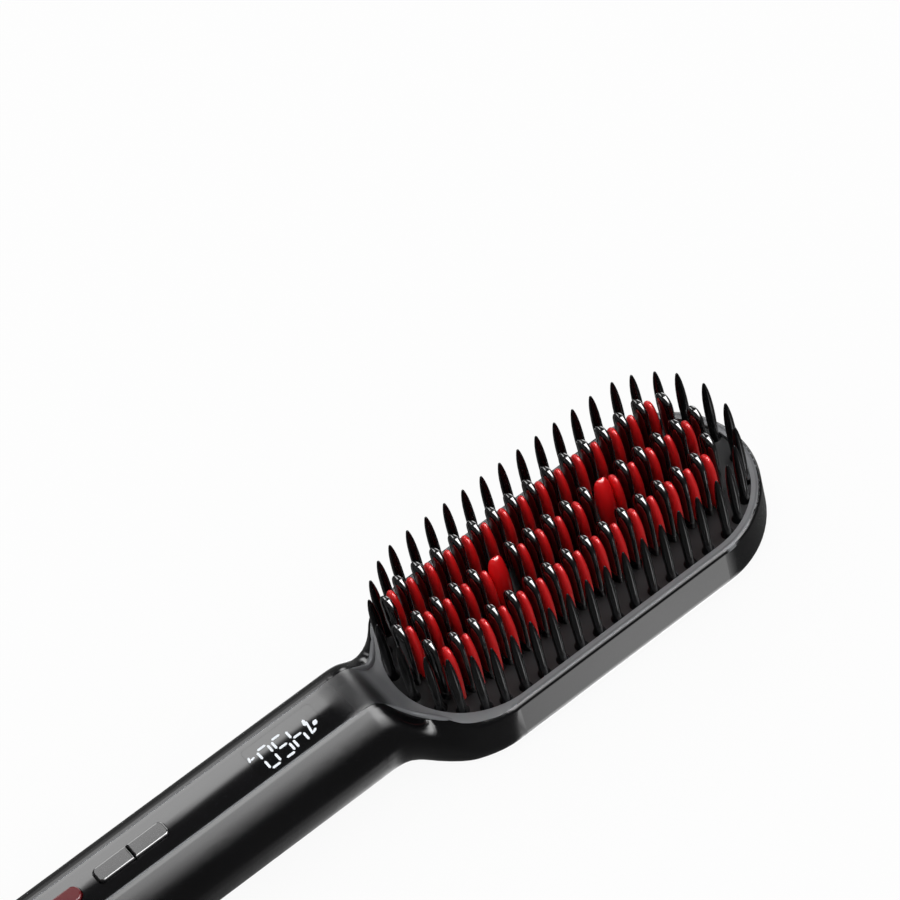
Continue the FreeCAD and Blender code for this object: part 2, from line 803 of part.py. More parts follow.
def tact_switch(x):
    half = switch_size / 2
    body_top = switch_top - switch_plunger_height
    body = box(x - half, x + half, half, board_top, body_top)
    return body.fuse(rod(switch_plunger_radius, switch_plunger_height, V(x, 0, body_top), V(0, 0, 1)))


def power_parts():
    """Capacitor and triac under the board."""
    start = board_middle_x - capacitor_length
    axis_z = board_bottom - capacitor_radius
    capacitor = rod(capacitor_radius, capacitor_length, V(start, 0, axis_z), V(1, 0, 0))
    triac_x = board_middle_x + triac_length / 2
    triac = box(triac_x, triac_x + triac_length, triac_half_width, board_bottom - triac_height, board_bottom)
    return [capacitor, triac]


def tube(edges, radius):
    """Round tube swept along a path of lines and arcs."""
    path = Part.Wire(edges)
    start = edges[0].valueAt(edges[0].FirstParameter)
    along = edges[0].tangentAt(edges[0].FirstParameter)
    ring = Part.Wire(Part.Circle(start, along, radius).toShape())
    return path.makePipeShell([ring], True, False)


def rounded_path(points):
    """Straight runs joined by arcs that touch them."""
    edges, radii = [], []
    at = points[0]
    for before, corner, after in zip(points, points[1:], points[2:]):
        into = (corner - before).normalize()
        out = (after - corner).normalize()
        half_turn = into.getAngle(out) / 2
        reach = bend_share * min((corner - before).Length, (after - corner).Length)
        radius = reach / math.tan(half_turn)
        inward = (out - into).normalize()
        first, last = corner - into * reach, corner + out * reach
        middle = corner + inward * (radius / math.cos(half_turn) - radius)
        edges.append(Part.LineSegment(at, first).toShape())
        edges.append(Part.Arc(first, middle, last).toShape())
        radii.append(round(radius, 1))
        at = last
    edges.append(Part.LineSegment(at, points[-1]).toShape())
    return edges, radii


def heater_lead(side):
    """Lead from the board down and along to the end of the first heater."""
    across = side * lead_offset
    level = plate_bottom - ptc_thickness / 2
    diagonal = lead_bend * (1 - math.sqrt(0.5))
    bend_start = V(lead_start, across, level + lead_bend)
    bend_end = V(lead_start + lead_bend, across, level)
    middle = V(lead_start + diagonal, across, level + diagonal)
    return tube([
        Part.LineSegment(V(lead_start, across, board_bottom), bend_start).toShape(),
        Part.Arc(bend_start, middle, bend_end).toShape(),
        Part.LineSegment(bend_end, V(ptc_ends()[0][0], across, level)).toShape(),
    ], lead_radius)


def coil_state(turn):
    """Radius, height and their rates at a number of turns from the coil's start."""
    layer = min(int(turn / (coil_layer_turns + coil_climb_turns)), coil_layers - 1)
    along = turn - layer * (coil_layer_turns + coil_climb_turns)
    level = coil_low_z + coil_pitch * layer
    runs_in = layer % 2 == 0
    slope = -coil_pitch if runs_in else coil_pitch
    start_radius = coil_outer_radius if runs_in else coil_inner_radius
    if along <= coil_layer_turns or layer == coil_layers - 1:
        return start_radius + slope * along, level, slope, 0.0
    climb = (along - coil_layer_turns) / coil_climb_turns
    radius = start_radius + slope * (coil_layer_turns + coil_climb_turns * climb * (1 - climb))
    height = level + coil_pitch * (3 * climb ** 2 - 2 * climb ** 3)
    height_rate = coil_pitch * 6 * climb * (1 - climb) / coil_climb_turns
    return radius, height, slope * (1 - 2 * climb), height_rate


def coil_point(turn):
    """Place relative to the coil's centre, and direction, seen turning against the clock."""
    radius, height, radius_rate, height_rate = coil_state(turn)
    angle = math.radians(coil_start_angle) + 2 * math.pi * turn
    outward = V(math.cos(angle), math.sin(angle), 0)
    onward = V(-math.sin(angle), math.cos(angle), 0)
    rate = outward * radius_rate + onward * (2 * math.pi * radius) + V(0, 0, height_rate)
    return outward * radius + V(0, 0, height), rate.normalize()


def arc_from(start, direction, end):
    """Arc that leaves start in a direction and reaches end."""
    chord = end - start
    unit = V(chord).normalize()
    sideways = (direction - unit * direction.dot(unit)).normalize()
    rise = chord.Length / 2 * math.tan(direction.getAngle(chord) / 2)
    return Part.Arc(start, start + chord / 2 + sideways * rise, end).toShape()


def biarc(start, start_dir, end, end_dir):
    """Two arcs that join two places with given directions."""
    chord = end - start
    both = start_dir + end_dir
    spread = 2 * (1 - start_dir.dot(end_dir))
    along = chord.dot(both)
    reach = (math.sqrt(along ** 2 + spread * chord.dot(chord)) - along) / spread
    joint = (start + end + (start_dir - end_dir) * reach) / 2
    first = arc_from(start, start_dir, joint)
    return [first, arc_from(joint, first.tangentAt(first.LastParameter), end)]


def coil_turns():
    """Turns of the coil: in and out, layer on layer, until it points along the handle."""
    whole = coil_layers * (coil_layer_turns + coil_climb_turns) - coil_climb_turns
    return whole + ((coil_end_angle - coil_start_angle) / 360 - whole) % 1


def lead_route():
    """Corners of the free stretch, the coil's start and the coil's centre."""
    drop = handle_axis - coil_low_z
    corners = [V(guard_tip_x + coil_outer_radius * along, coil_outer_radius * across, coil_low_z + drop * up)
               for along, across, up in lead_route_shares]
    offset, onward = coil_point(0.0)
    stretch_end = corners[-1] + onward * (coil_outer_radius * lead_last_run_share)
    coil_start = stretch_end + onward * (2 * cord_radius)
    centre = coil_start - offset
    return corners + [stretch_end], coil_start, centre


def cord_coil(stretch_end, centre):
    """One unbroken tube: straight end, quarter turns as biarcs, and the fall to the plug."""
    quarters = [index / 4 for index in range(int(coil_turns() * 4) + 1)] + [coil_turns()]
    states = [coil_point(turn) for turn in quarters]
    places = [(centre + place, direction) for place, direction in states]
    edges = [Part.LineSegment(stretch_end, places[0][0]).toShape()]
    for (start, start_dir), (end, end_dir) in zip(places, places[1:]):
        edges += biarc(start, start_dir, end, end_dir)
    end, direction = places[-1]
    fall_start = end + direction * lead_end_straight
    fall_end = fall_start + direction * lead_fall_length - V(0, 0, coil_high_z - plug_half_height)
    last = fall_end + direction * lead_end_straight
    fall_edges, fall_radii = rounded_path([end, fall_start, fall_end, last])
    edges += fall_edges
    print("fall bend radii", fall_radii)
    return tube(edges, cord_radius), last, direction, sum(edge.Length for edge in edges)


def coil_gap():
    """Least gap between turns, on points along the middle of the tube."""
    steps = int(coil_turns() * 48)
    points = [coil_point(coil_turns() * step / steps)[0] for step in range(steps + 1)]
    apart = int(steps / coil_turns() / 2)
    least = min((points[low] - points[high]).Length
                for low in range(steps) for high in range(low + apart, steps + 1))
    return least - 2 * cord_radius


def cord_tie(centre):
    """Strap round the bundle on the side next to the brush."""
    inner_side = coil_inner_radius - coil_pitch * coil_climb_turns / 4 - cord_radius
    near = centre.x + math.sqrt(inner_side ** 2 - (tie_width / 2) ** 2) - tie_gap
    far = centre.x + coil_outer_radius + cord_radius
    high = coil_high_z + cord_radius + tie_gap
    half = tie_width / 2
    band = box(near - tie_thickness, far + tie_thickness, half, 0.0, high + tie_thickness, centre.y)
    return band.cut(box(near, far, half, tie_thickness, high, centre.y))


def plug(start, direction):
    """Plug that lies on the floor, made along X and turned to the lead's end."""
    turn = FreeCAD.Rotation(V(1, 0, 0), direction)
    neck_tip = cord_radius + cord_clearance
    neck = Part.makeCone(neck_tip, plug_neck_radius, plug_neck_length, V(0, 0, 0), V(1, 0, 0))
    front = plug_neck_length + plug_length
    grip = box(plug_neck_length, front, plug_half_width, -plug_half_height, plug_half_height)
    grip = grip.makeFillet(plug_corner, [edge for edge in grip.Edges if edge.BoundBox.XLength > plug_corner])
    body = neck.fuse(grip).removeSplitter()
    blades = []
    for across in (-blade_spacing / 2, blade_spacing / 2):
        half = blade_width / 2
        blades.append(box(front, front + blade_length, blade_thickness / 2, -half, half, across))
    blades = group(blades)
    for shape in (body, blades):
        shape.Placement = FreeCAD.Placement(start, turn)
    return body, blades


# Housing, cover and back
outer, housing, cover = build_body()
save(finish_housing(housing), "rear_housing")
save(finish_cover(cover), "front_cover")
save(tail_cap(), "tail_cap")
ring_hole = stadium_prism(neck_centre_x, ring_inner_radius, 0.0, back_inlay_depth)
save(stadium_prism(neck_centre_x, ring_outer_radius, 0.0, back_inlay_depth).cut(ring_hole), "accent_ring")
save(stadium_prism(neck_centre_x, ring_inner_radius - back_inlay_gap, 0.0, back_inlay_depth), "back_plate")

# Comb
save(comb_frame(), "comb_frame")
save(group([guard_tooth(x, y) for x, y in tooth_places()]), "guard_teeth")
save(group([guard_arch(x, y) for x, y in arch_places()]), "guard_arches")
save(group([heating_fin(x, y) for x, y in fin_places()]), "heating_fins")
save(group([ion_outlet(x) for x in outlet_places()]), "ion_outlets")

# Heater
gasket_hole = stadium_prism(comb_neck_x, plate_radius - gasket_width, plate_top, frame_bottom)
save(stadium_prism(comb_neck_x, plate_radius, plate_top, frame_bottom).cut(gasket_hole), "comb_gasket")
save(heater_plate(), "heater_plate")
save(group([heater_screw(x, y) for x, y in post_places()]), "heater_screws")
heaters = [box(low, high, ptc_width / 2, ptc_bottom, plate_bottom) for low, high in ptc_ends()]
save(group(heaters), "ptc_heaters")
save(mica_sheet(), "mica_sheet")
save(heater_clamp(), "heater_clamp")
save(group([clamp_screw(x, y) for x, y in clamp_screw_places()]), "clamp_screws")
sensor_start = V(head_centre_x - ptc_spacing / 2, sensor_offset, plate_bottom - sensor_radius)
save(rod(sensor_radius, sensor_length, sensor_start, V(1, 0, 0)), "thermistor")
fuse_start = V(head_centre_x + ptc_spacing / 4, -sensor_offset, plate_bottom - fuse_radius)
save(rod(fuse_radius, fuse_length, fuse_start, V(1, 0, 0)), "thermal_fuse")
save(group([heater_lead(-1), heater_lead(1)]), "heater_leads")

# Electronics in the handle
save(box(board_start_x, board_end_x, board_half_width, board_bottom, board_top), "main_board")
save(group(power_parts()), "power_parts")
switch_places = [power_centre, pad_centre - pad_length / 4, pad_centre + pad_length / 4]
save(group([tact_switch(x) for x in switch_places]), "tact_switches")
display_half = display_length / 2 - window_ledge * 2
save(box(display_centre - display_half, display_centre + display_half,
         display_half_width - window_ledge * 2, board_top, window_bottom - window_gap), "display_module")
save(outer.common(window_prism(0.0, window_bottom, strip_top + overrun)), "display_window")
save(box(ion_centre - ion_length / 2, ion_centre + ion_length / 2,
         ion_half_width, ion_bottom(), ion_bottom() + ion_height), "ion_generator")
terminal_x = cap_inner_x + cap_skirt_length
save(box(terminal_x, terminal_x + terminal_length, terminal_half_width, terminal_bottom, board_bottom),
     "terminal_block")

# Keys
pad_low, pad_high = pad_centre - pad_length / 2, pad_centre + pad_length / 2
down_end, up_start = pad_centre - pad_split / 2, pad_centre + pad_split / 2
save(button(pad_low, down_end, [pad_low], pad_corner, button_flange, 0.0), "temp_down_button")
save(button(up_start, pad_high, [pad_high], pad_corner, 0.0, button_flange), "temp_up_button")
power_low, power_high = power_centre - power_length / 2, power_centre + power_length / 2
save(button(power_low, power_high, [power_low, power_high], power_corner, button_flange, button_flange),
     "power_button")

# Lead
save(swivel_bush(), "swivel_bush")
save(bend_guard(), "bend_guard")
corners, coil_start, coil_centre = lead_route()
root_length = terminal_x - corners[0].x
save(rod(cord_radius, root_length, corners[0], V(1, 0, 0)), "cord_root")
stretch_edges, stretch_radii = rounded_path(corners)
stretch_length = sum(edge.Length for edge in stretch_edges)
stretch = tube(stretch_edges, cord_radius)
save(stretch, "cord_stretch")
coil, coil_end, coil_direction, coil_length = cord_coil(corners[-1], coil_centre)
save(coil, "cord_coil")
save(cord_tie(coil_centre), "cord_tie")
plug_body, plug_blades = plug(coil_end, coil_direction)
save(plug_body, "plug_body")
save(plug_blades, "plug_blades")
section = math.pi * cord_radius ** 2
print("stretch bend radii", stretch_radii)
print("stretch volume against section by length", stretch.Volume / (section * stretch_length))
print("coil volume against section by length", coil.Volume / (section * coil_length))
print("coil least gap", coil_gap())
print("lead length", root_length + stretch_length + coil_length)
print("coil centre", coil_centre, "turns", coil_turns())
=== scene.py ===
# %% [markdown]
# A heated straightening brush lies on its back on a white table, teeth up, with its mains lead wound up
# behind the tail. The CAD model brings the sizes, the pieces and the joints. This script dresses it: it
# aims the camera, lays the lead, sets the light and gives every piece the finish of its real material.
# Lengths are metres, in the frame of the CAD model: X runs from the tail to the head's tip, Y across, Z up.

# %% Load the frame
import bpy
import json
import math
from mathutils import Matrix, Vector
import bmesh


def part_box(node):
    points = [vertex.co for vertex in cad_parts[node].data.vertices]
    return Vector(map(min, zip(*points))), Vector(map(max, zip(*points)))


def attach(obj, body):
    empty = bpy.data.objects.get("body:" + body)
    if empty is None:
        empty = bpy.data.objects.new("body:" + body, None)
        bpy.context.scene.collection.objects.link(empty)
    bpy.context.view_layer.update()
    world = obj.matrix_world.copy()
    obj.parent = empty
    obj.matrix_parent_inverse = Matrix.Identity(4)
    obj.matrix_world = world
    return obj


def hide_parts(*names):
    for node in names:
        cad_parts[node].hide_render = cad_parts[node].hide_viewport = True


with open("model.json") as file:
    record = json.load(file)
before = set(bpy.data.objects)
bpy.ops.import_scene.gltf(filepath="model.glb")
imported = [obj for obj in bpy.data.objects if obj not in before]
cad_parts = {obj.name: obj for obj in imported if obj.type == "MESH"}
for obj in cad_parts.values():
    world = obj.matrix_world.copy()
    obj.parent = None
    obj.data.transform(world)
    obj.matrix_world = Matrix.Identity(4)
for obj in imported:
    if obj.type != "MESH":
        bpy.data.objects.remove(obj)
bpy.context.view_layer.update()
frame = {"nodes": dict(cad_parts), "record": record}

mm = 0.001
nodes = frame["nodes"]

# %% [markdown]
# The photograph was taken from above the near side, a long way off, so the brush shows almost no
# perspective. A camera can be aimed at a target by a constraint, but the tilt of the picture matters here
# too: the handle rises to the right. So the camera gets its whole attitude from two directions, the one
# that points back from the brush to the lens and the one that is up in the picture.

# %% Camera
camera_place = Vector((-0.2621, -0.6869, 1.1184))
camera_back = Vector((-0.24128, -0.54290, 0.80440)).normalized()
camera_up = Vector((0.57244, 0.58972, 0.56971)).normalized()
camera_right = camera_up.cross(camera_back)

lens = bpy.data.cameras.new("studio_camera")
lens.lens = 186.4
lens.sensor_width = 36.0
lens.clip_end = 20.0
camera = bpy.data.objects.new("studio_camera", lens)
attitude = Matrix((camera_right, camera_up, camera_back)).transposed()
camera.matrix_world = Matrix.Translation(camera_place) @ attitude.to_4x4()
bpy.context.scene.collection.objects.link(camera)
bpy.context.scene.camera = camera
print("camera", round(camera_place.length, 3), "m away, lens", lens.lens, "mm")

# %% [markdown]
# The lead is 6 mm round flex. It leaves the bend guard straight, sags to the table and runs into a neat
# coil of four layers, and its last stretch falls from the coil to the plug. One open NURBS curve is the
# natural tool: its control points pull the line as a stiff flex would bend, and a round bevel gives it its
# thickness. The free stretches have a few listed points. The turns of the coil come from a loop:
# in on one layer, up, and out again on the next. The curve runs inside its control points, so the loop sets
# them outside by the cosine of half a step.

# %% Mains lead
cord_radius = 3.0 * mm
stretch_route = [
    (-0.17026, 0.0, 0.0170),
    (-0.19206, 0.0, 0.0170),
    (-0.20586, 0.00618, 0.01236),
    (-0.21894, 0.01816, 0.0041),
    (-0.23005, 0.02695, 0.0041),
]
fall_route = [
    (-0.24217, -0.03390, 0.0242),
    (-0.19618, -0.03282, 0.0070),
    (-0.18219, -0.03248, 0.0070),
]
coil_middle = Vector((-0.258109, 0.002840))
coil_inner, coil_pitch, coil_low = 24.6 * mm, 6.7 * mm, 4.1 * mm
coil_layers, layer_turns, climb_turns = 4, 1.75, 0.5
coil_turns = 8.61944
first_angle = math.radians(50.0)
steps_per_turn = 16


def coil_point(turn):
    """Place on the lead's middle line, a number of turns into the coil."""
    layer = min(int(turn / (layer_turns + climb_turns)), coil_layers - 1)
    along = turn - layer * (layer_turns + climb_turns)
    height = coil_low + coil_pitch * layer
    flat = along
    if along > layer_turns and layer < coil_layers - 1:
        climb = (along - layer_turns) / climb_turns
        flat = layer_turns + climb_turns * climb * (1 - climb)
        height += coil_pitch * (3 * climb ** 2 - 2 * climb ** 3)
    radius = coil_inner + coil_pitch * (flat if layer % 2 else layer_turns - flat)
    angle = first_angle + 2 * math.pi * turn
    reach = radius / math.cos(math.pi / steps_per_turn)
    return (coil_middle.x + reach * math.cos(angle), coil_middle.y + reach * math.sin(angle), height)


coil_steps = int(coil_turns * steps_per_turn)
coil_route = [coil_point(step / steps_per_turn) for step in range(1, coil_steps + 1)]
cord_route = stretch_route + coil_route + fall_route

cord_curve = bpy.data.curves.new("mains_lead", "CURVE")
cord_curve.dimensions = "3D"
cord_curve.bevel_depth = 1.0
cord_curve.bevel_resolution = 6
cord_curve.resolution_u = 6
cord_curve.use_fill_caps = True
cord_line = cord_curve.splines.new("NURBS")
cord_line.points.add(len(cord_route) - 1)
for point, place in zip(cord_line.points, cord_route):
    point.co = (*place, 1.0)
    point.radius = cord_radius
cord_line.order_u = 3
cord_line.use_endpoint_u = True
mains_lead = bpy.data.objects.new("mains_lead", cord_curve)
bpy.context.scene.collection.objects.link(mains_lead)
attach(mains_lead, "brush")
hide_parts("cord_stretch", "cord_coil")
print("lead has", len(cord_route), "control points")

# %% [markdown]
# Colours are written as they look on screen, in sRGB hex, and Blender's sockets take linear light, so one
# function turns the one into the other. A second function adds a node, sets it and links it. With these
# two a finish is a short list of nodes that reads from its pattern to its surface.

# %% Colour and node helpers


def linear(colour):
    """Linear light of an sRGB hex colour, with full opacity."""
    channels = [int(colour[place:place + 2], 16) / 255 for place in (1, 3, 5)]
    return [c / 12.92 if c <= 0.04045 else ((c + 0.055) / 1.055) ** 2.4 for c in channels] + [1.0]


def add(owner, kind, inputs=None, **settings):
    """Add a node to a material or world, set it, and fill or link its inputs."""
    node = owner.node_tree.nodes.new(kind)
    for name, value in settings.items():
        setattr(node, name, value)
    for socket, value in (inputs or {}).items():
        if isinstance(value, bpy.types.NodeSocket):
            owner.node_tree.links.new(value, node.inputs[socket])
        else:
            node.inputs[socket].default_value = value
    return node


def blank(name):
    """New material with an empty node tree."""
    material = bpy.data.materials.new(name)
    material.use_nodes = True
    material.node_tree.nodes.clear()
    return material


print("black", [round(v, 4) for v in linear("#101010")])

# %% [markdown]
# A product on white is lit by large soft boxes, and black plastic shows little but their reflections. They
# could be area lamps, but here the world itself holds them, because a box that is drawn by direction puts
# its edge exactly where the photograph has it. The brush is long, so a direction is told by its turn about
# the long axis, 0 straight up and 90 degrees at the near horizon, and by its part along that axis. One box
# stands behind the brush. A long one hangs over its near side and fades towards the horizon, which gives
# the handle its soft fall to black. One over the head draws the glints on the comb, one beyond the tip
# lights the faces that lean that way, and a pale patch below, in the table's place, lights the side of the
# head. Mirror rays see the boxes, the colours get a plain, even light, and the camera sees white.

# %% Studio light
world = bpy.data.worlds.new("studio_light")
world.use_nodes = True
world.node_tree.nodes.clear()
bpy.context.scene.world = world
world.cycles.sampling_method = "NONE"

back_light, near_light, head_light, end_light, floor_light = 6.0, 19.0, 18.0, 6.0, 2.9
room_light, even_light = 0.12, 1.0
look = add(world, "ShaderNodeTexCoord").outputs["Generated"]
axes = add(world, "ShaderNodeSeparateXYZ", {"Vector": look}).outputs
near_part = add(world, "ShaderNodeMath", {0: axes["Y"], 1: -1.0}, operation="MULTIPLY").outputs["Value"]
turn_about = add(world, "ShaderNodeMath", {0: near_part, 1: axes["Z"]}, operation="ARCTAN2").outputs["Value"]


def edge(value, dark, bright):
    """Soft edge of a light box: 0 at one value and 1 at the other."""
    return add(world, "ShaderNodeMapRange", {"Value": value, "From Min": dark, "From Max": bright},
               interpolation_type="SMOOTHSTEP").outputs["Result"]


def turn_edge(dark, bright):
    """Edge of a box by the turn about the long axis, in degrees."""
    return edge(turn_about, math.radians(dark), math.radians(bright))


def box_light(strength, *edges):
    """Light of a box: its strength times all its edges."""
    light = strength
    for one_edge in edges:
        light = add(world, "ShaderNodeMath", {0: light, 1: one_edge}, operation="MULTIPLY").outputs["Value"]
    return light


back_box = box_light(back_light, turn_edge(-31.3, -34.3), turn_edge(-110, -60),
                     edge(axes["X"], 0.21, 0.195), edge(axes["X"], 0.07, 0.09))
near_box = box_light(near_light, turn_edge(-10, -2), turn_edge(82, 4), edge(axes["X"], 0.085, 0.115),
                     edge(axes["X"], 0.30, 0.24))
head_box = box_light(head_light, turn_edge(-10, -2), turn_edge(80, 45), edge(axes["X"], 0.26, 0.31),
                     edge(axes["X"], 0.85, 0.5))
end_box = box_light(end_light, turn_edge(-48, -60), turn_edge(-115, -85), edge(axes["X"], 0.42, 0.58))
floor_patch = box_light(floor_light, edge(axes["Z"], -0.62, -0.78), edge(axes["X"], 0.15, 0.25),
                        edge(axes["X"], 0.36, 0.28))
mirrored_light = room_light
for one_box in (back_box, near_box, head_box, end_box, floor_patch):
    mirrored_light = add(world, "ShaderNodeMath", {0: mirrored_light, 1: one_box},
                         operation="ADD").outputs["Value"]
rays = add(world, "ShaderNodeLightPath").outputs
even = add(world, "ShaderNodeBackground", {"Color": (1, 1, 1, 1), "Strength": even_light})
boxes = add(world, "ShaderNodeBackground", {"Color": (1, 1, 1, 1), "Strength": mirrored_light})
white = add(world, "ShaderNodeBackground", {"Color": (1, 1, 1, 1), "Strength": 1.0})
lit = add(world, "ShaderNodeMixShader", {0: rays["Is Glossy Ray"], 1: even.outputs[0], 2: boxes.outputs[0]})
seen = add(world, "ShaderNodeMixShader", {0: rays["Is Camera Ray"], 1: lit.outputs[0], 2: white.outputs[0]})
add(world, "ShaderNodeOutputWorld", {"Surface": seen.outputs[0]})
bpy.context.scene.view_settings.view_transform = "Standard"
print("studio light with four boxes and a floor patch")

# %% [markdown]
# The table is white paper that fills the picture. It needs no edge and no texture of its own, only a faint
# shadow under the brush. Most of its white is its own glow for camera and mirror rays, and a small diffuse
# part carries the shadow. The black plastic skips the paper and mirrors the world's pale patch in its place.

# %% White table
half_table, table_level = 3.0, -0.1 * mm
glow_share = 0.93
paper = blank("paper_matt_white")
paper_rays = add(paper, "ShaderNodeLightPath").outputs
paper_diffuse = add(paper, "ShaderNodeBsdfDiffuse", {"Color": linear("#e6e6e6")}).outputs[0]
paper_white = add(paper, "ShaderNodeEmission", {"Color": (1, 1, 1, 1), "Strength": 1.0}).outputs[0]
paper_seen = add(paper, "ShaderNodeMixShader", {0: glow_share, 1: paper_diffuse, 2: paper_white}).outputs[0]
white_rays = paper_rays["Is Camera Ray"]
for ray_kind in ("Is Glossy Ray", "Is Transmission Ray"):
    white_rays = add(paper, "ShaderNodeMath", {0: white_rays, 1: paper_rays[ray_kind]},
                     operation="MAXIMUM").outputs[0]
paper_all = add(paper, "ShaderNodeMixShader", {0: white_rays, 1: paper_diffuse, 2: paper_seen}).outputs[0]
add(paper, "ShaderNodeOutputMaterial", {"Surface": paper_all})

table_mesh = bpy.data.meshes.new("white_table")
corners = [(-half_table, -half_table), (half_table, -half_table), (half_table, half_table),
           (-half_table, half_table)]
table_mesh.from_pydata([(x, y, table_level) for x, y in corners], [], [(0, 1, 2, 3)])
table_mesh.materials.append(paper)
white_table = bpy.data.objects.new("white_table", table_mesh)
white_table.visible_glossy = False
bpy.context.scene.collection.objects.link(white_table)
print("table", 2 * half_table, "m wide")

# %% [markdown]
# The comb is what the eye goes to: black guard tongues and red heating fins in three rows, with black pins
# round them. In the CAD model they are plates with the right outlines. The real ones are moulded and have
# no sharp edge anywhere, and their round shoulders are what catches the light. Each is a stack of rings:
# a ring is a rounded oval at one height, and the top rings close in like the end of an egg. Beveled plates
# would do it too, but the stack keeps each form smooth with few faces.

# %% Rounded forms from stacks of rings
ring_points = 24


def oval(x, y, z, half_x, half_y, square):
    """Ring of points: an ellipse where square is 2, and nearer to a rectangle where it is more."""
    ring = []
    for step in range(ring_points):
        angle = 2 * math.pi * step / ring_points
        across, along = math.cos(angle), math.sin(angle)
        ring.append((x + half_x * math.copysign(abs(across) ** (2 / square), across),
                     y + half_y * math.copysign(abs(along) ** (2 / square), along), z))
    return ring


def skin(name, stacks, looped=False):
    """One smooth mesh of closed forms, each a stack of rings that is capped or runs back into itself."""
    form = bmesh.new()
    for stack in stacks:
        loops = [[form.verts.new(point) for point in ring] for ring in stack]
        count = len(loops[0])
        for lower, upper in zip(loops, loops[1:] + loops[:1] if looped else loops[1:]):
            for step in range(count):
                after = (step + 1) % count
                form.faces.new((lower[step], lower[after], upper[after], upper[step]))
        if not looped:
            form.faces.new(reversed(loops[0]))
            form.faces.new(loops[-1])
    bmesh.ops.recalc_face_normals(form, faces=form.faces)
    for face in form.faces:
        face.smooth = True
    mesh = bpy.data.meshes.new(name)
    form.to_mesh(mesh)
    form.free()
    return mesh


def mount(name, data, body, slot, *replaced):
    """Put a new piece on its body and hide the CAD nodes it stands for; the slot argument is not used."""
    piece = bpy.data.objects.new(name, data)
    bpy.context.scene.collection.objects.link(piece)
    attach(piece, body)
    if replaced:
        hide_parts(*replaced)
    return piece


print("rings of", ring_points, "points")

# %% [markdown]
# The tongues and the fins take turns along each row, half a pitch apart. The middle row leaves two places
# free for the ion outlets, and the outer rows end in one more tongue that is set in. A tongue has a round
# dome, whose near side mirrors the light as a white leaf. A fin is a petal, and every second one is blunter.
# An outlet is an egg. So one function makes all three, each from its own list of sizes.

# %% Guard tongues, heating fins and ion outlets
comb_middle, pitch, row_step = 66.0 * mm, 6.7 * mm, 13.0 * mm
end_steps, end_row_share, outlet_reach = 7.5, 0.76, 19.2 * mm
comb_foot, comb_top = 16.6 * mm, 44.4 * mm
belly_shares = (0.0, 0.25, 0.5, 0.75, 1.0)
top_turns = [math.radians(angle) for angle in (10, 20, 30, 40, 50, 59, 67, 74, 80, 85, 88)]
crown_power = 0.4


def petal(x, y, foot, belly, top, foot_half, belly_half, foot_thick, belly_thick, gable, square):
    """Stack of rings from a foot to a belly and a closed top, which is pointed where gable is under 2."""
    stack = []
    for share in belly_shares:
        swell = math.sin(share * math.pi / 2)
        stack.append(oval(x, y, foot + (belly - foot) * share,
                          foot_thick + (belly_thick - foot_thick) * swell,
                          foot_half + (belly_half - foot_half) * swell, square))
    for turn in top_turns:
        rise, width = math.sin(turn) ** (2 / gable), math.cos(turn) ** (2 / gable)
        stack.append(oval(x, y, belly + (top - belly) * rise, belly_thick * math.cos(turn) ** crown_power,
                          belly_half * width, square))
    return stack


tongue_places = [(comb_middle + pitch * (k + 0.5), side * row_step)
                 for side in (-1, 1) for k in range(-7, 7)]
tongue_places += [(comb_middle + pitch * k, 0.0) for k in range(-8, 9) if abs(k) != 3]
tongue_places += [(comb_middle + end * end_steps * pitch, side * end_row_share * row_step)
                  for end in (-1, 1) for side in (-1, 1)]
fin_places = [(comb_middle + pitch * k, side * row_step, k % 2) for side in (-1, 1) for k in range(-7, 8)]
fin_places += [(comb_middle + pitch * (k + 0.5), 0.0, k % 2) for k in range(-8, 8) if abs(k + 0.5) != 2.5]
outlet_places = [(comb_middle - outlet_reach, 0.0), (comb_middle + outlet_reach, 0.0)]

tongue_form = {"foot": comb_foot, "belly": 40.2 * mm, "top": comb_top, "foot_half": 2.9 * mm,
               "belly_half": 3.6 * mm, "foot_thick": 1.2 * mm, "belly_thick": 1.45 * mm, "gable": 2.0,
               "square": 2.2}
fin_form = {"foot": 14.7 * mm, "belly": 30.0 * mm, "top": 40.8 * mm, "foot_half": 2.3 * mm,
            "belly_half": 3.4 * mm, "foot_thick": 0.95 * mm, "belly_thick": 1.3 * mm, "square": 2.3}
fin_gables = (1.9, 2.5)
outlet_form = {"foot": comb_foot, "belly": 31.5 * mm, "top": 43.6 * mm, "foot_half": 2.2 * mm,
               "belly_half": 3.0 * mm, "foot_thick": 2.2 * mm, "belly_thick": 2.9 * mm, "gable": 1.9,
               "square": 2.0}
tongues = [petal(x, y, **tongue_form) for x, y in tongue_places]
fins = [petal(x, y, gable=fin_gables[blunt], **fin_form) for x, y, blunt in fin_places]
outlets = [petal(x, y, **outlet_form) for x, y in outlet_places]
guard_tongues = mount("guard_tongues", skin("guard_tongues", tongues), "brush", "black_comb", "guard_arches")
heating_blades = mount("heating_blades", skin("heating_blades", fins), "brush", "red_fins", "heating_fins")
outlet_buds = mount("outlet_buds", skin("outlet_buds", outlets), "brush", "red_outlets", "ion_outlets")
print(len(tongues), "tongues,", len(fins), "fins,", len(outlets), "outlets")

# %% [markdown]
# The pins stand in a ring inside the rim: ten round each end and eleven along each side. A pin has a
# spread foot, a belly and a point that is blunt enough not to scratch the scalp. A lathe profile, as pairs
# of height and radius in millimetres, gives all of that.

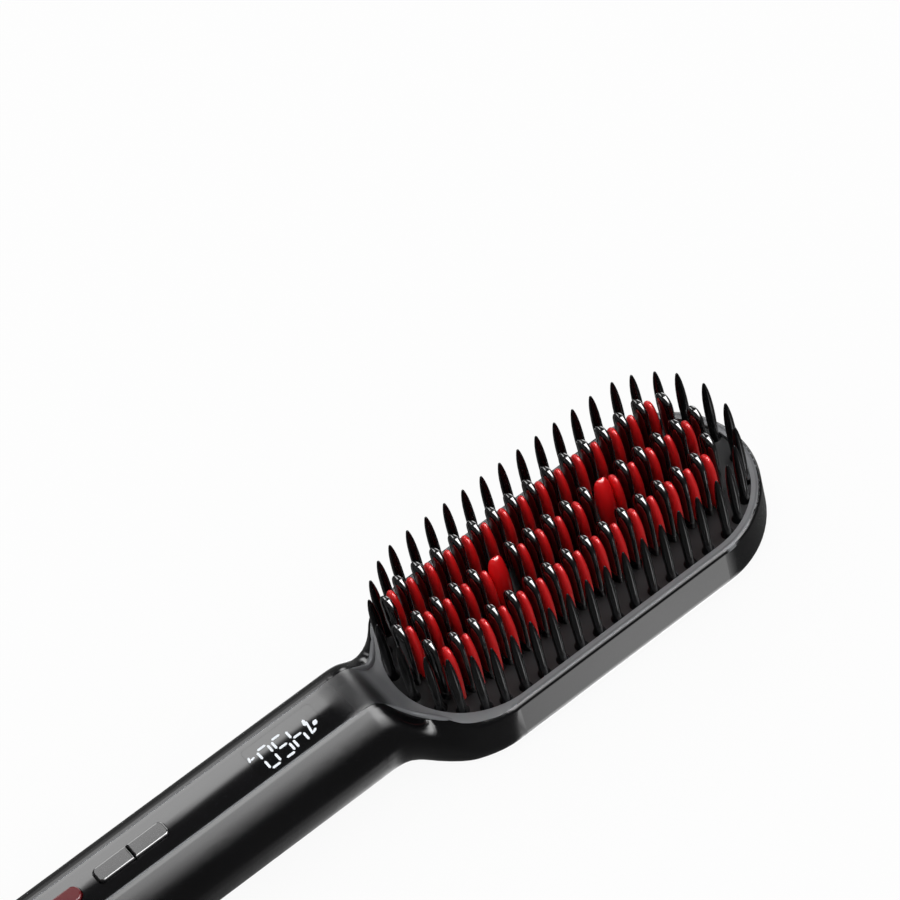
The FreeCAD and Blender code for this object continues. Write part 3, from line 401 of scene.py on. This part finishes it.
# %% Guard pins
ring_radius = 24.4 * mm
tip_end, neck_end = 103.5 * mm, 32.5 * mm
side_step, side_pins = 6.69 * mm, 11
end_shares = (0.13, 0.363, 0.533, 0.711, 0.867)
end_angles = [side * share * math.pi / 2 for share in end_shares for side in (-1, 1)]
pin_places = [(tip_end + ring_radius * math.cos(a), ring_radius * math.sin(a)) for a in end_angles]
pin_places += [(neck_end - ring_radius * math.cos(a), ring_radius * math.sin(a)) for a in end_angles]
last_end_x = neck_end - ring_radius * math.cos(end_shares[-1] * math.pi / 2)
pin_places += [(last_end_x + side_step * (k + 1), side * ring_radius)
               for k in range(side_pins) for side in (-1, 1)]
pin_profile = [(16.6, 2.0), (17.6, 2.0), (18.4, 1.6), (20.0, 1.3), (24.0, 1.4), (28.5, 1.5), (32.5, 1.48),
               (36.5, 1.34), (39.5, 1.12), (41.6, 0.86), (43.0, 0.62), (43.9, 0.42), (44.25, 0.24),
               (44.4, 0.05)]
pins = [[oval(x, y, up * mm, radius * mm, radius * mm, 2) for up, radius in pin_profile]
        for x, y in pin_places]
guard_pins = mount("guard_pins", skin("guard_pins", pins), "brush", "black_comb", "guard_teeth")
print(len(pins), "pins")

# %% [markdown]
# Where the polished front meets the satin shell, the moulding ends in a small round bead. It is a hair line
# along the strip, grows through the S of the neck and runs round the head as a pale rim: the bead is black,
# and its pale grey is a painted reflection. One curve with a radius at each point is the quickest way to lay
# it: the far half is listed as place and radius in millimetres, the tip is a half circle, and the near half
# is the mirror image.

# %% Edge bead
strip_out, strip_level, strip_radius = 7.15, 31.96, 0.42
rim_out, rim_level, rim_radius = 27.62, 17.40, 1.34
tip_start, tip_steps = 103.5, 12
bead_side = [(x, strip_out, strip_level, strip_radius) for x in (-117.0, -90.0, -50.0, -20.0)]
bead_side += [
    (-9.0, 7.17, 31.90, 0.43), (-4.0, 7.50, 30.80, 0.50), (0.2, 8.70, 25.90, 0.70),
    (5.0, 10.85, 19.20, 0.90), (10.2, 16.50, 17.75, 1.00), (14.9, 23.60, 17.60, 1.08),
    (21.1, 26.90, 17.45, 1.25),
]
bead_side += [(x, rim_out, rim_level, rim_radius) for x in (27.0, 50.0, 80.0, tip_start)]
bead_reach = rim_out / math.cos(math.pi / (2 * tip_steps))
tip_turns = [math.pi * (tip_steps - 1 - 2 * step) / (2 * tip_steps) for step in range(tip_steps)]
bead_tip = [(tip_start + bead_reach * math.cos(turn), -bead_reach * math.sin(turn), rim_level, rim_radius)
            for turn in tip_turns]
bead_route = [(x, -y, z, r) for x, y, z, r in bead_side] + bead_tip + bead_side[::-1]
bead_curve = bpy.data.curves.new("edge_bead", "CURVE")
bead_curve.dimensions = "3D"
bead_curve.bevel_depth = 1.0
bead_curve.bevel_resolution = 5
bead_curve.resolution_u = 5
bead_line = bead_curve.splines.new("NURBS")
bead_line.points.add(len(bead_route) - 1)
for point, (x, y, z, radius) in zip(bead_line.points, bead_route):
    point.co = (x * mm, y * mm, z * mm, 1.0)
    point.radius = radius * mm
bead_line.order_u = 3
bead_line.use_endpoint_u = True
edge_bead = mount("edge_bead", bead_curve, "brush", "gloss_black_cover")
print("edge bead with", len(bead_route), "points")

# %% [markdown]
# The display shows a temperature in seven-segment figures, lit from below through the smoked window. Each
# segment is a small bar with pointed ends. The figures read from the near side of the handle, so right is
# towards the tail and up is towards the near edge. A small unit sign and a generic setting sign stand
# beside them. A bar is a place, a turn, half a length and half a width, in millimetres and degrees. The bars
# lie on the arched window as a thin film, because what lies under smoked plastic is faint.

# %% Display figures
segment_half, stroke_half, film, film_gap = 1.45, 0.37, 0.06, 0.05
column, storey, figures_y = 1.8, 3.75, -1.5
window_top, window_half, window_fall = 32.72, 7.3, 0.35
segments = {"a": (0, storey, 0), "g": (0, 0, 0), "d": (0, -storey, 0), "f": (-column, storey / 2, 1),
            "b": (column, storey / 2, 1), "e": (-column, -storey / 2, 1), "c": (column, -storey / 2, 1)}
figures = [(-27.0, "fgbc"), (-32.0, "afgcd"), (-37.0, "abcdef")]
bars = []
for figure_x, letters in figures:
    for letter in letters:
        right, up, upright = segments[letter]
        bars.append((figure_x - right, figures_y - up, 90.0 if upright else 0.0, segment_half, stroke_half))
unit_sign = [(-41.9, 1.3, 75.0, 1.0, 0.34), (-40.9, 1.0, 10.0, 0.75, 0.3)]
setting_sign = [(-23.0, -1.8, 80.0, 2.4, 0.34), (-23.2, 0.5, 75.0, 1.2, 0.50),
                (-20.8, -1.5, 40.0, 1.05, 0.7), (-22.4, -3.5, 25.0, 0.9, 0.36)]
bars += unit_sign + setting_sign
figure_form = bmesh.new()
for x, y, turn, half_long, half_wide in bars:
    cosine, sine = math.cos(math.radians(turn)), math.sin(math.radians(turn))
    outline = [(-half_long, 0), (half_wide - half_long, -half_wide), (half_long - half_wide, -half_wide),
               (half_long, 0), (half_long - half_wide, half_wide), (half_wide - half_long, half_wide)]
    rims = []
    for lift in (0.0, film):
        rim = []
        for along, across in outline:
            px, py = x + along * cosine - across * sine, y + along * sine + across * cosine
            level = window_top - window_fall * (py / window_half) ** 2 + film_gap + lift
            rim.append(figure_form.verts.new((px * mm, py * mm, level * mm)))
        rims.append(rim)
    figure_form.faces.new(reversed(rims[0]))
    figure_form.faces.new(rims[1])
    for step in range(len(outline)):
        after = (step + 1) % len(outline)
        figure_form.faces.new((rims[0][step], rims[0][after], rims[1][after], rims[1][step]))
figure_mesh = bpy.data.meshes.new("display_figures")
figure_form.to_mesh(figure_mesh)
figure_form.free()
display_figures = mount("display_figures", figure_mesh, "brush", "smoked_window")
print("display with", len(bars), "bars")

# %% [markdown]
# A hook-and-loop strap holds the coil. In the CAD model it is a plain band. The real strap is webbing with
# thick woven edges, laid round the turns, and its end overlaps on the outside. Rings again: each ring is the
# strap's flat section, set square to a rounded loop.

# %% Coil strap
strap_low, strap_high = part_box("cord_tie")
strap_middle = (Vector(strap_low) + Vector(strap_high)) / 2
strap_thick, strap_wide = 0.4 * mm, 4.5 * mm
strap_x = (strap_high[0] - strap_low[0]) / 2 - strap_thick
strap_z = (strap_high[2] - strap_low[2]) / 2 - strap_thick
loop_power, out_power = 0.35, 1.65
strap_section = ((-1, -0.6), (-0.9, -1), (-0.5, -0.8), (0.5, -0.8), (0.9, -1), (1, -0.6),
                 (1, 0.6), (0.9, 1), (0.5, 0.8), (-0.5, 0.8), (-0.9, 1), (-1, 0.6))


def strap_ring(turn, lift):
    """Section of the strap at one turn about its loop, lifted off it."""
    cosine, sine = math.cos(turn), math.sin(turn)
    side_x = math.copysign(abs(cosine) ** loop_power, cosine) * strap_x
    side_z = math.copysign(abs(sine) ** loop_power, sine) * strap_z
    out = Vector((math.copysign(abs(cosine) ** out_power, cosine) / strap_x, 0,
                  math.copysign(abs(sine) ** out_power, sine) / strap_z)).normalized()
    place = strap_middle + Vector((side_x, 0, side_z)) + out * lift
    ring = []
    for across, rise in strap_section:
        ring.append(tuple(place + Vector((0, across * strap_wide, 0)) + out * rise * strap_thick))
    return ring


loop_steps, tab_turns = 96, range(-38, 40, 4)
strap_loop = [strap_ring(2 * math.pi * step / loop_steps, 0.0) for step in range(loop_steps)]
strap_tab = [strap_ring(math.radians(turn), 2 * strap_thick) for turn in tab_turns]
strap_mesh = skin("coil_strap", [strap_loop], looped=True)
tab_mesh = skin("strap_tab", [strap_tab])
coil_strap = mount("coil_strap", strap_mesh, "brush", "tie_fabric", "cord_tie")
strap_end = mount("strap_end", tab_mesh, "brush", "tie_fabric")
print("strap loop", round(2000 * strap_x, 1), "by", round(2000 * strap_z, 1), "mm")

# %% [markdown]
# Most pieces are moulded plastic, and moulded plastic is never one flat colour. Its tone and its gloss drift
# a little from where the melt flowed, and the steel of the mould prints its own fine grain on it. One
# function makes that family: two near tones, a roughness that drifts with them, and a grain as bump. The
# grain of a real mould is 0.05 to 0.1 mm, too fine to show here, so it is drawn four times as coarse. A
# second function lays one more tone over such a finish where a pattern asks for it.

# %% Moulded plastic
gloss_low, gloss_high = 0.85, 1.15


def moulded(name, colour, tint, roughness, ior, grain_mm=0.35, depth_mm=0.004, drift_mm=18.0, level=0.5):
    """Moulded plastic with two near tones, a drifting gloss and the grain of its mould."""
    material = blank(name)
    place = add(material, "ShaderNodeTexCoord").outputs["Object"]
    drift = add(material, "ShaderNodeTexNoise", {"Vector": place, "Scale": 1 / (drift_mm * mm),
                                                 "Detail": 3.0})
    grain = add(material, "ShaderNodeTexNoise", {"Vector": place, "Scale": 1 / (grain_mm * mm),
                                                 "Detail": 2.0})
    tone = add(material, "ShaderNodeMix", {0: drift.outputs[0], 6: linear(colour), 7: linear(tint)},
               data_type="RGBA")
    gloss = add(material, "ShaderNodeMapRange", {"Value": drift.outputs[0], "To Min": roughness * gloss_low,
                                                 "To Max": roughness * gloss_high})
    bump = add(material, "ShaderNodeBump", {"Height": grain.outputs[0], "Distance": depth_mm * mm,
                                            "Strength": 0.5})
    surface = add(material, "ShaderNodeBsdfPrincipled", {
        "Base Color": tone.outputs[2], "Roughness": gloss.outputs[0], "IOR": ior,
        "Specular IOR Level": level, "Normal": bump.outputs[0]}, name="surface")
    add(material, "ShaderNodeOutputMaterial", {"Surface": surface.outputs[0]})
    return material


def lay_over(material, share, colour):
    """Lay a second tone over a moulded finish, by a share from 0 to 1."""
    surface = material.node_tree.nodes["surface"]
    first_tone = surface.inputs["Base Color"].links[0].from_socket
    tone = add(material, "ShaderNodeMix", {0: share, 6: first_tone, 7: linear(colour)}, data_type="RGBA")
    material.node_tree.links.new(tone.outputs[2], surface.inputs["Base Color"])


finishes = {}
polish_mm, polish_depth_mm = 0.6, 0.001
print("moulded finishes ready")

# %% [markdown]
# The shell, the tail cap and the back are ABS. The shell comes from a finely spark-eroded mould: a satin
# that still mirrors the light boxes, as soft grey bands. Its grain shades itself, so its specular level is
# under the usual half. The grey plate in the back has a coarser spark grain, and the red ring is painted.

# %% Shell, ring and plate
finishes["satin_black_shell"] = moulded("abs_spark_satin_black", "#0a0a0b", "#0f0f10", 0.16, 1.53,
                                        level=0.22)
finishes["red_accent"] = moulded("abs_painted_red", "#e8183c", "#f02046", 0.26, 1.50, polish_mm, 0.002)
finishes["grey_plate"] = moulded("abs_spark_grey", "#5f6062", "#696a6c", 0.46, 1.53, 0.5, 0.012)
print("shell finishes", list(finishes))

# %% [markdown]
# The front cover is ABS from a polished mould on the control strip, where the back box shows as a clean
# bright half. The ramp down to the head is satin. The land round the comb and the foot of the ramp are
# black plastic too, but they get a grey mixed into their colour as a painted reflection, as the bead beside
# them does. Place tells them apart: the polish ends 15 mm before the middle of the brush, and the painted
# reflection comes in on the ramp, between 28 and 23 mm above the table. The bead's painted grey is dull, so
# its specular level is low.

# %% Front cover
cover_finish = moulded("abs_polished_black", "#050506", "#08080a", 0.10, 1.53, polish_mm, polish_depth_mm)
cover_place = add(cover_finish, "ShaderNodeTexCoord").outputs["Object"]
cover_axes = add(cover_finish, "ShaderNodeSeparateXYZ", {"Vector": cover_place}).outputs
polish_end, satin_start, reflection_paint_start, reflection_paint_full = -15.0 * mm, -6.0 * mm, 28.0 * mm, 23.0 * mm
strip_roughness, land_roughness = 0.09, 0.42
cover_gloss = add(cover_finish, "ShaderNodeMapRange", {
    "Value": cover_axes["X"], "From Min": polish_end, "From Max": satin_start, "To Min": strip_roughness,
    "To Max": land_roughness})
cover_surface = cover_finish.node_tree.nodes["surface"]
cover_finish.node_tree.links.new(cover_gloss.outputs[0], cover_surface.inputs["Roughness"])
# Painted reflection: a grey is mixed into the black cover from 28 mm down to 23 mm, on the lower ramp and
# the land.
reflection_paint_share = add(cover_finish, "ShaderNodeMapRange", {"Value": cover_axes["Z"], "From Min": reflection_paint_start,
                                                       "From Max": reflection_paint_full})
lay_over(cover_finish, reflection_paint_share.outputs[0], "#78797b")
finishes["gloss_black_cover"] = cover_finish
# Painted reflection: the bead is black plastic, and this pale grey stands in for the light it reflects.
bead_reflection_finish = moulded("abs_grey_painted_reflection", "#6c6d6f", "#76777a", 0.34, 1.53, level=0.16)
print("cover: roughness", strip_roughness, "on the strip and", land_roughness, "on the land")

# %% [markdown]
# The comb has to stand about 230 degrees, so its black pieces are glass-filled PPS. The tongues are
# polished, and each throws a white glint from its dome. The pins are duller and show only a faint line of
# light. The floor of the comb between them is satin and looks dark grey.

# %% Black comb
finishes["black_comb"] = moulded("pps_polished_black", "#060607", "#0a0a0b", 0.13, 1.62, polish_mm,
                                 polish_depth_mm, level=0.8)
pin_finish = moulded("pps_satin_pins", "#060607", "#0b0b0c", 0.20, 1.62, polish_mm, polish_depth_mm,
                     level=0.2)
floor_finish = moulded("pps_satin_floor", "#141415", "#1c1c1d", 0.36, 1.62, 0.4, 0.008, level=0.25)
print("comb finishes", finishes["black_comb"].name, pin_finish.name, floor_finish.name)

# %% [markdown]
# The fins are die-cast aluminium under a sprayed ceramic coat: a strong red with a faint orange-peel and
# tiny darker specks from the spray. The outlets are clear red polycarbonate, glossier and without specks.
# The specks are really 0.05 mm across; they are drawn at 0.3 mm.

# %% Red fins and outlets
fin_finish = moulded("ceramic_sprayed_red", "#dc181c", "#e62224", 0.32, 1.55, 0.8, 0.006)
speck_mm = 0.3
speck_core, speck_rim, speck_tint = 0.05, 0.22, 0.25
fin_place = add(fin_finish, "ShaderNodeTexCoord").outputs["Object"]
specks = add(fin_finish, "ShaderNodeTexVoronoi", {"Vector": fin_place, "Scale": 1 / (speck_mm * mm)})
speck_share = add(fin_finish, "ShaderNodeMapRange", {
    "Value": specks.outputs["Distance"], "From Min": speck_core, "From Max": speck_rim, "To Min": speck_tint,
    "To Max": 0.0})
lay_over(fin_finish, speck_share.outputs[0], "#a01014")
finishes["red_fins"] = fin_finish
finishes["red_outlets"] = moulded("polycarbonate_polished_red", "#d41418", "#de1c1e", 0.12, 1.58, polish_mm,
                                  polish_depth_mm)
print("red finishes", fin_finish.name, finishes["red_outlets"].name)

# %% [markdown]
# The keys are polished ABS, two black and one dark red. The black pair has a hard coat that mirrors more,
# so its specular level is twice the usual half. The red one is bare and mirrors less. The display window is
# smoked polycarbonate: nearly black from outside, with a sharp reflection. The figures are white light from
# small LEDs, so their finish glows, a little unevenly as a light guide does.

# %% Keys, window and figures
finishes["gloss_black_key"] = moulded("abs_key_polished_black", "#101011", "#161617", 0.16, 1.53, polish_mm,
                                      polish_depth_mm, level=1.0)
finishes["dark_red_key"] = moulded("abs_key_polished_red", "#58060e", "#680a12", 0.12, 1.53, polish_mm,
                                   polish_depth_mm, level=0.25)
finishes["smoked_window"] = moulded("polycarbonate_smoked", "#050506", "#070708", 0.08, 1.58, polish_mm,
                                    polish_depth_mm, level=0.43)
figure_finish = moulded("led_light_white", "#c8ccd0", "#d2d6da", 0.40, 1.50)
figure_surface = figure_finish.node_tree.nodes["surface"]
figure_glow = 0.35
figure_surface.inputs["Emission Strength"].default_value = figure_glow
figure_surface.inputs["Emission Color"].default_value = linear("#dfe4ea")
print("figures glow at", figure_glow)

# %% [markdown]
# The lead is PVC flex, drawn through a die, so its skin is even with a dull gloss. The plug is moulded round
# its end in the same PVC, and the bend guard is softer thermoplastic rubber. The swivel bush is nylon.
# Carbon black and soft skins drink light, so these have a low specular level.

# %% Lead, plug and guard
finishes["cord_pvc"] = moulded("pvc_extruded_black", "#0d0d0e", "#131314", 0.36, 1.54, 0.6, 0.006, level=0.2)
finishes["plug_pvc"] = moulded("pvc_moulded_black", "#0f0f10", "#151516", 0.40, 1.54, 0.5, 0.010, level=0.2)
finishes["black_rubber"] = moulded("tpe_moulded_black", "#0f0f10", "#161617", 0.50, 1.50, 0.5, 0.012,
                                   level=0.2)
finishes["black_nylon"] = moulded("nylon_moulded_black", "#0e0e0f", "#151516", 0.44, 1.53, level=0.25)
print("lead finishes", finishes["cord_pvc"].name, finishes["plug_pvc"].name)

# %% [markdown]
# The strap is woven nylon webbing. Two sets of ribs cross each other: one runs along the strap, one across
# it. The real threads lie 0.4 mm apart, and they are drawn 0.9 mm apart to show at all. Bump raises the
# ribs, and the gaps between them are painted darker, as painted shade, with the rib tops lighter.

# %% Strap webbing
webbing = blank("nylon_woven_black")
thread_mm, thread_depth_mm = 0.9, 0.15
thread_turns = math.pi / (thread_mm * mm)
web_place = add(webbing, "ShaderNodeTexCoord").outputs["Object"]
web_axes = add(webbing, "ShaderNodeSeparateXYZ", {"Vector": web_place}).outputs
round_way = add(webbing, "ShaderNodeMath", {0: web_axes["X"], 1: web_axes["Z"]}, operation="ADD").outputs[0]
ribs = []
for way in (web_axes["Y"], round_way):
    phase = add(webbing, "ShaderNodeMath", {0: way, 1: thread_turns}, operation="MULTIPLY").outputs[0]
    wave = add(webbing, "ShaderNodeMath", {0: phase}, operation="SINE").outputs[0]
    ribs.append(add(webbing, "ShaderNodeMath", {0: wave}, operation="ABSOLUTE").outputs[0])
weave = add(webbing, "ShaderNodeMath", {0: ribs[0], 1: ribs[1]}, operation="MULTIPLY").outputs[0]
# Painted shade: the tone follows the weave, dark in the gaps between threads and lighter on the rib tops.
web_tone_with_painted_shade = add(webbing, "ShaderNodeMix", {0: weave, 6: linear("#0c0c0d"), 7: linear("#262628")},
               data_type="RGBA")
web_bump = add(webbing, "ShaderNodeBump", {"Height": weave, "Distance": thread_depth_mm * mm,
                                           "Strength": 0.8})
web_surface = add(webbing, "ShaderNodeBsdfPrincipled", {
    "Base Color": web_tone_with_painted_shade.outputs[2], "Roughness": 0.75, "IOR": 1.53, "Specular IOR Level": 0.2,
    "Sheen Weight": 0.15, "Normal": web_bump.outputs[0]})
add(webbing, "ShaderNodeOutputMaterial", {"Surface": web_surface.outputs[0]})
finishes["tie_fabric"] = webbing
print("webbing with threads", thread_mm, "mm apart")

# %% [markdown]
# The metals are bare or plated. What tells them apart is their tone and the marks of how they were made: a
# casting has a dull grain, a drawn can and stamped blades have fine lines, a plated screw is nearly smooth.
# One function stretches a noise along the direction of the work, and lets it move the roughness and bump.

# %% Metals
work_low, work_high = 0.7, 1.3


def worked(name, colour, tint, roughness, grain_mm, stretch, depth_mm):
    """Metal with the grain of its making, stretched along each axis by a share."""
    material = blank(name)
    place = add(material, "ShaderNodeTexCoord").outputs["Object"]
    along = add(material, "ShaderNodeMapping", {"Vector": place, "Scale": stretch})
    grain = add(material, "ShaderNodeTexNoise", {"Vector": along.outputs[0], "Scale": 1 / (grain_mm * mm),
                                                 "Detail": 4.0})
    tone = add(material, "ShaderNodeMix", {0: grain.outputs[0], 6: linear(colour), 7: linear(tint)},
               data_type="RGBA")
    gloss = add(material, "ShaderNodeMapRange", {"Value": grain.outputs[0], "To Min": roughness * work_low,
                                                 "To Max": roughness * work_high})
    bump = add(material, "ShaderNodeBump", {"Height": grain.outputs[0], "Distance": depth_mm * mm})
    surface = add(material, "ShaderNodeBsdfPrincipled", {
        "Base Color": tone.outputs[2], "Metallic": 1.0, "Roughness": gloss.outputs[0],
        "Normal": bump.outputs[0]})
    add(material, "ShaderNodeOutputMaterial", {"Surface": surface.outputs[0]})
    return material


finishes["heater_aluminium"] = worked("aluminium_die_cast", "#a9aaa8", "#bcbdba", 0.45, 0.8, (1, 1, 1), 0.02)
finishes["screw_steel"] = worked("steel_zinc_plated", "#a4a8ac", "#bcc0c4", 0.28, 0.5, (1, 1, 0.2), 0.004)
finishes["fuse_metal"] = worked("tin_plated_drawn", "#b2b2ac", "#c4c4be", 0.30, 0.4, (0.06, 1, 1), 0.004)
finishes["blade_brass"] = worked("brass_stamped", "#c8a458", "#d8b66a", 0.26, 0.5, (0.06, 1, 1), 0.005)
metal_slots = ("heater_aluminium", "screw_steel", "fuse_metal", "blade_brass")
print("metals", [finishes[slot].name for slot in metal_slots])

# %% [markdown]
# Inside lie pieces that only show when the brush is opened: the gasket and the sleeves of silicone, the
# heaters of sintered ceramic, the mica sheet with its flakes, the sensor, and the board with its tracks.
# They get the same care as the outside, because the part is reused and may be taken apart.

# %% Inner pieces
finishes["silicone"] = moulded("silicone_moulded_grey", "#bdbdb6", "#c9c9c2", 0.55, 1.41)
finishes["lead_insulation"] = moulded("silicone_sleeve_white", "#d6d6ce", "#e2e2da", 0.50, 1.41, 0.9, 0.05)
finishes["ptc_ceramic"] = moulded("ptc_sintered_ceramic", "#7c756c", "#968e84", 0.72, 1.60, 0.4, 0.03, 1.2)
finishes["sensor_glass"] = moulded("glass_bead_amber", "#b87a30", "#c88a3c", 0.14, 1.52, 0.8, 0.002, 3.0)
finishes["component_black"] = moulded("epoxy_moulded_black", "#151516", "#1e1e20", 0.55, 1.55, 0.4, 0.015,
                                      4.0)
finishes["terminal_plastic"] = moulded("nylon_moulded_natural", "#d0cec2", "#dcdacf", 0.45, 1.53)

flake_mm, track_mm = 2.5, 2.0
mark_start, mark_full = 0.3, 0.36
mica_finish = moulded("mica_pressed_sheet", "#a8864c", "#bc9a5e", 0.35, 1.58, 0.6, 0.01, flake_mm)
board_finish = moulded("glass_epoxy_green_mask", "#0c5a2c", "#0f6a34", 0.30, 1.55, 0.8, 0.01)
for material, cell_mm, mark in ((mica_finish, flake_mm, "#d0b078"), (board_finish, track_mm, "#17803f")):
    cell_place = add(material, "ShaderNodeTexCoord").outputs["Object"]
    cells = add(material, "ShaderNodeTexVoronoi", {"Vector": cell_place, "Scale": 1 / (cell_mm * mm)},
                distance="CHEBYCHEV")
    mark_share = add(material, "ShaderNodeMapRange", {
        "Value": cells.outputs["Distance"], "From Min": mark_start, "From Max": mark_full})
    lay_over(material, mark_share.outputs[0], mark)
finishes["mica"] = mica_finish
finishes["circuit_board"] = board_finish
print(len(finishes), "finishes by slot")

# %% [markdown]
# Each CAD piece takes the finish of its slot in the record, and each new piece takes the finish of what it
# stands for. The comb's floor and pins and the bead have their own variants of a slot's finish.

# %% Give every piece its finish
for row in frame["record"]["subparts"]:
    nodes[row["node"]].material_slots[0].material = finishes[row["material_slot"]]
nodes["comb_frame"].material_slots[0].material = floor_finish
dressed = [
    (mains_lead, finishes["cord_pvc"]), (guard_tongues, finishes["black_comb"]), (guard_pins, pin_finish),
    (heating_blades, fin_finish), (outlet_buds, finishes["red_outlets"]), (edge_bead, bead_reflection_finish),
    (display_figures, figure_finish), (coil_strap, webbing), (strap_end, webbing),
]
for piece, finish in dressed:
    piece.data.materials.append(finish)
print(len(nodes), "CAD pieces and", len(dressed), "new pieces have their finish")
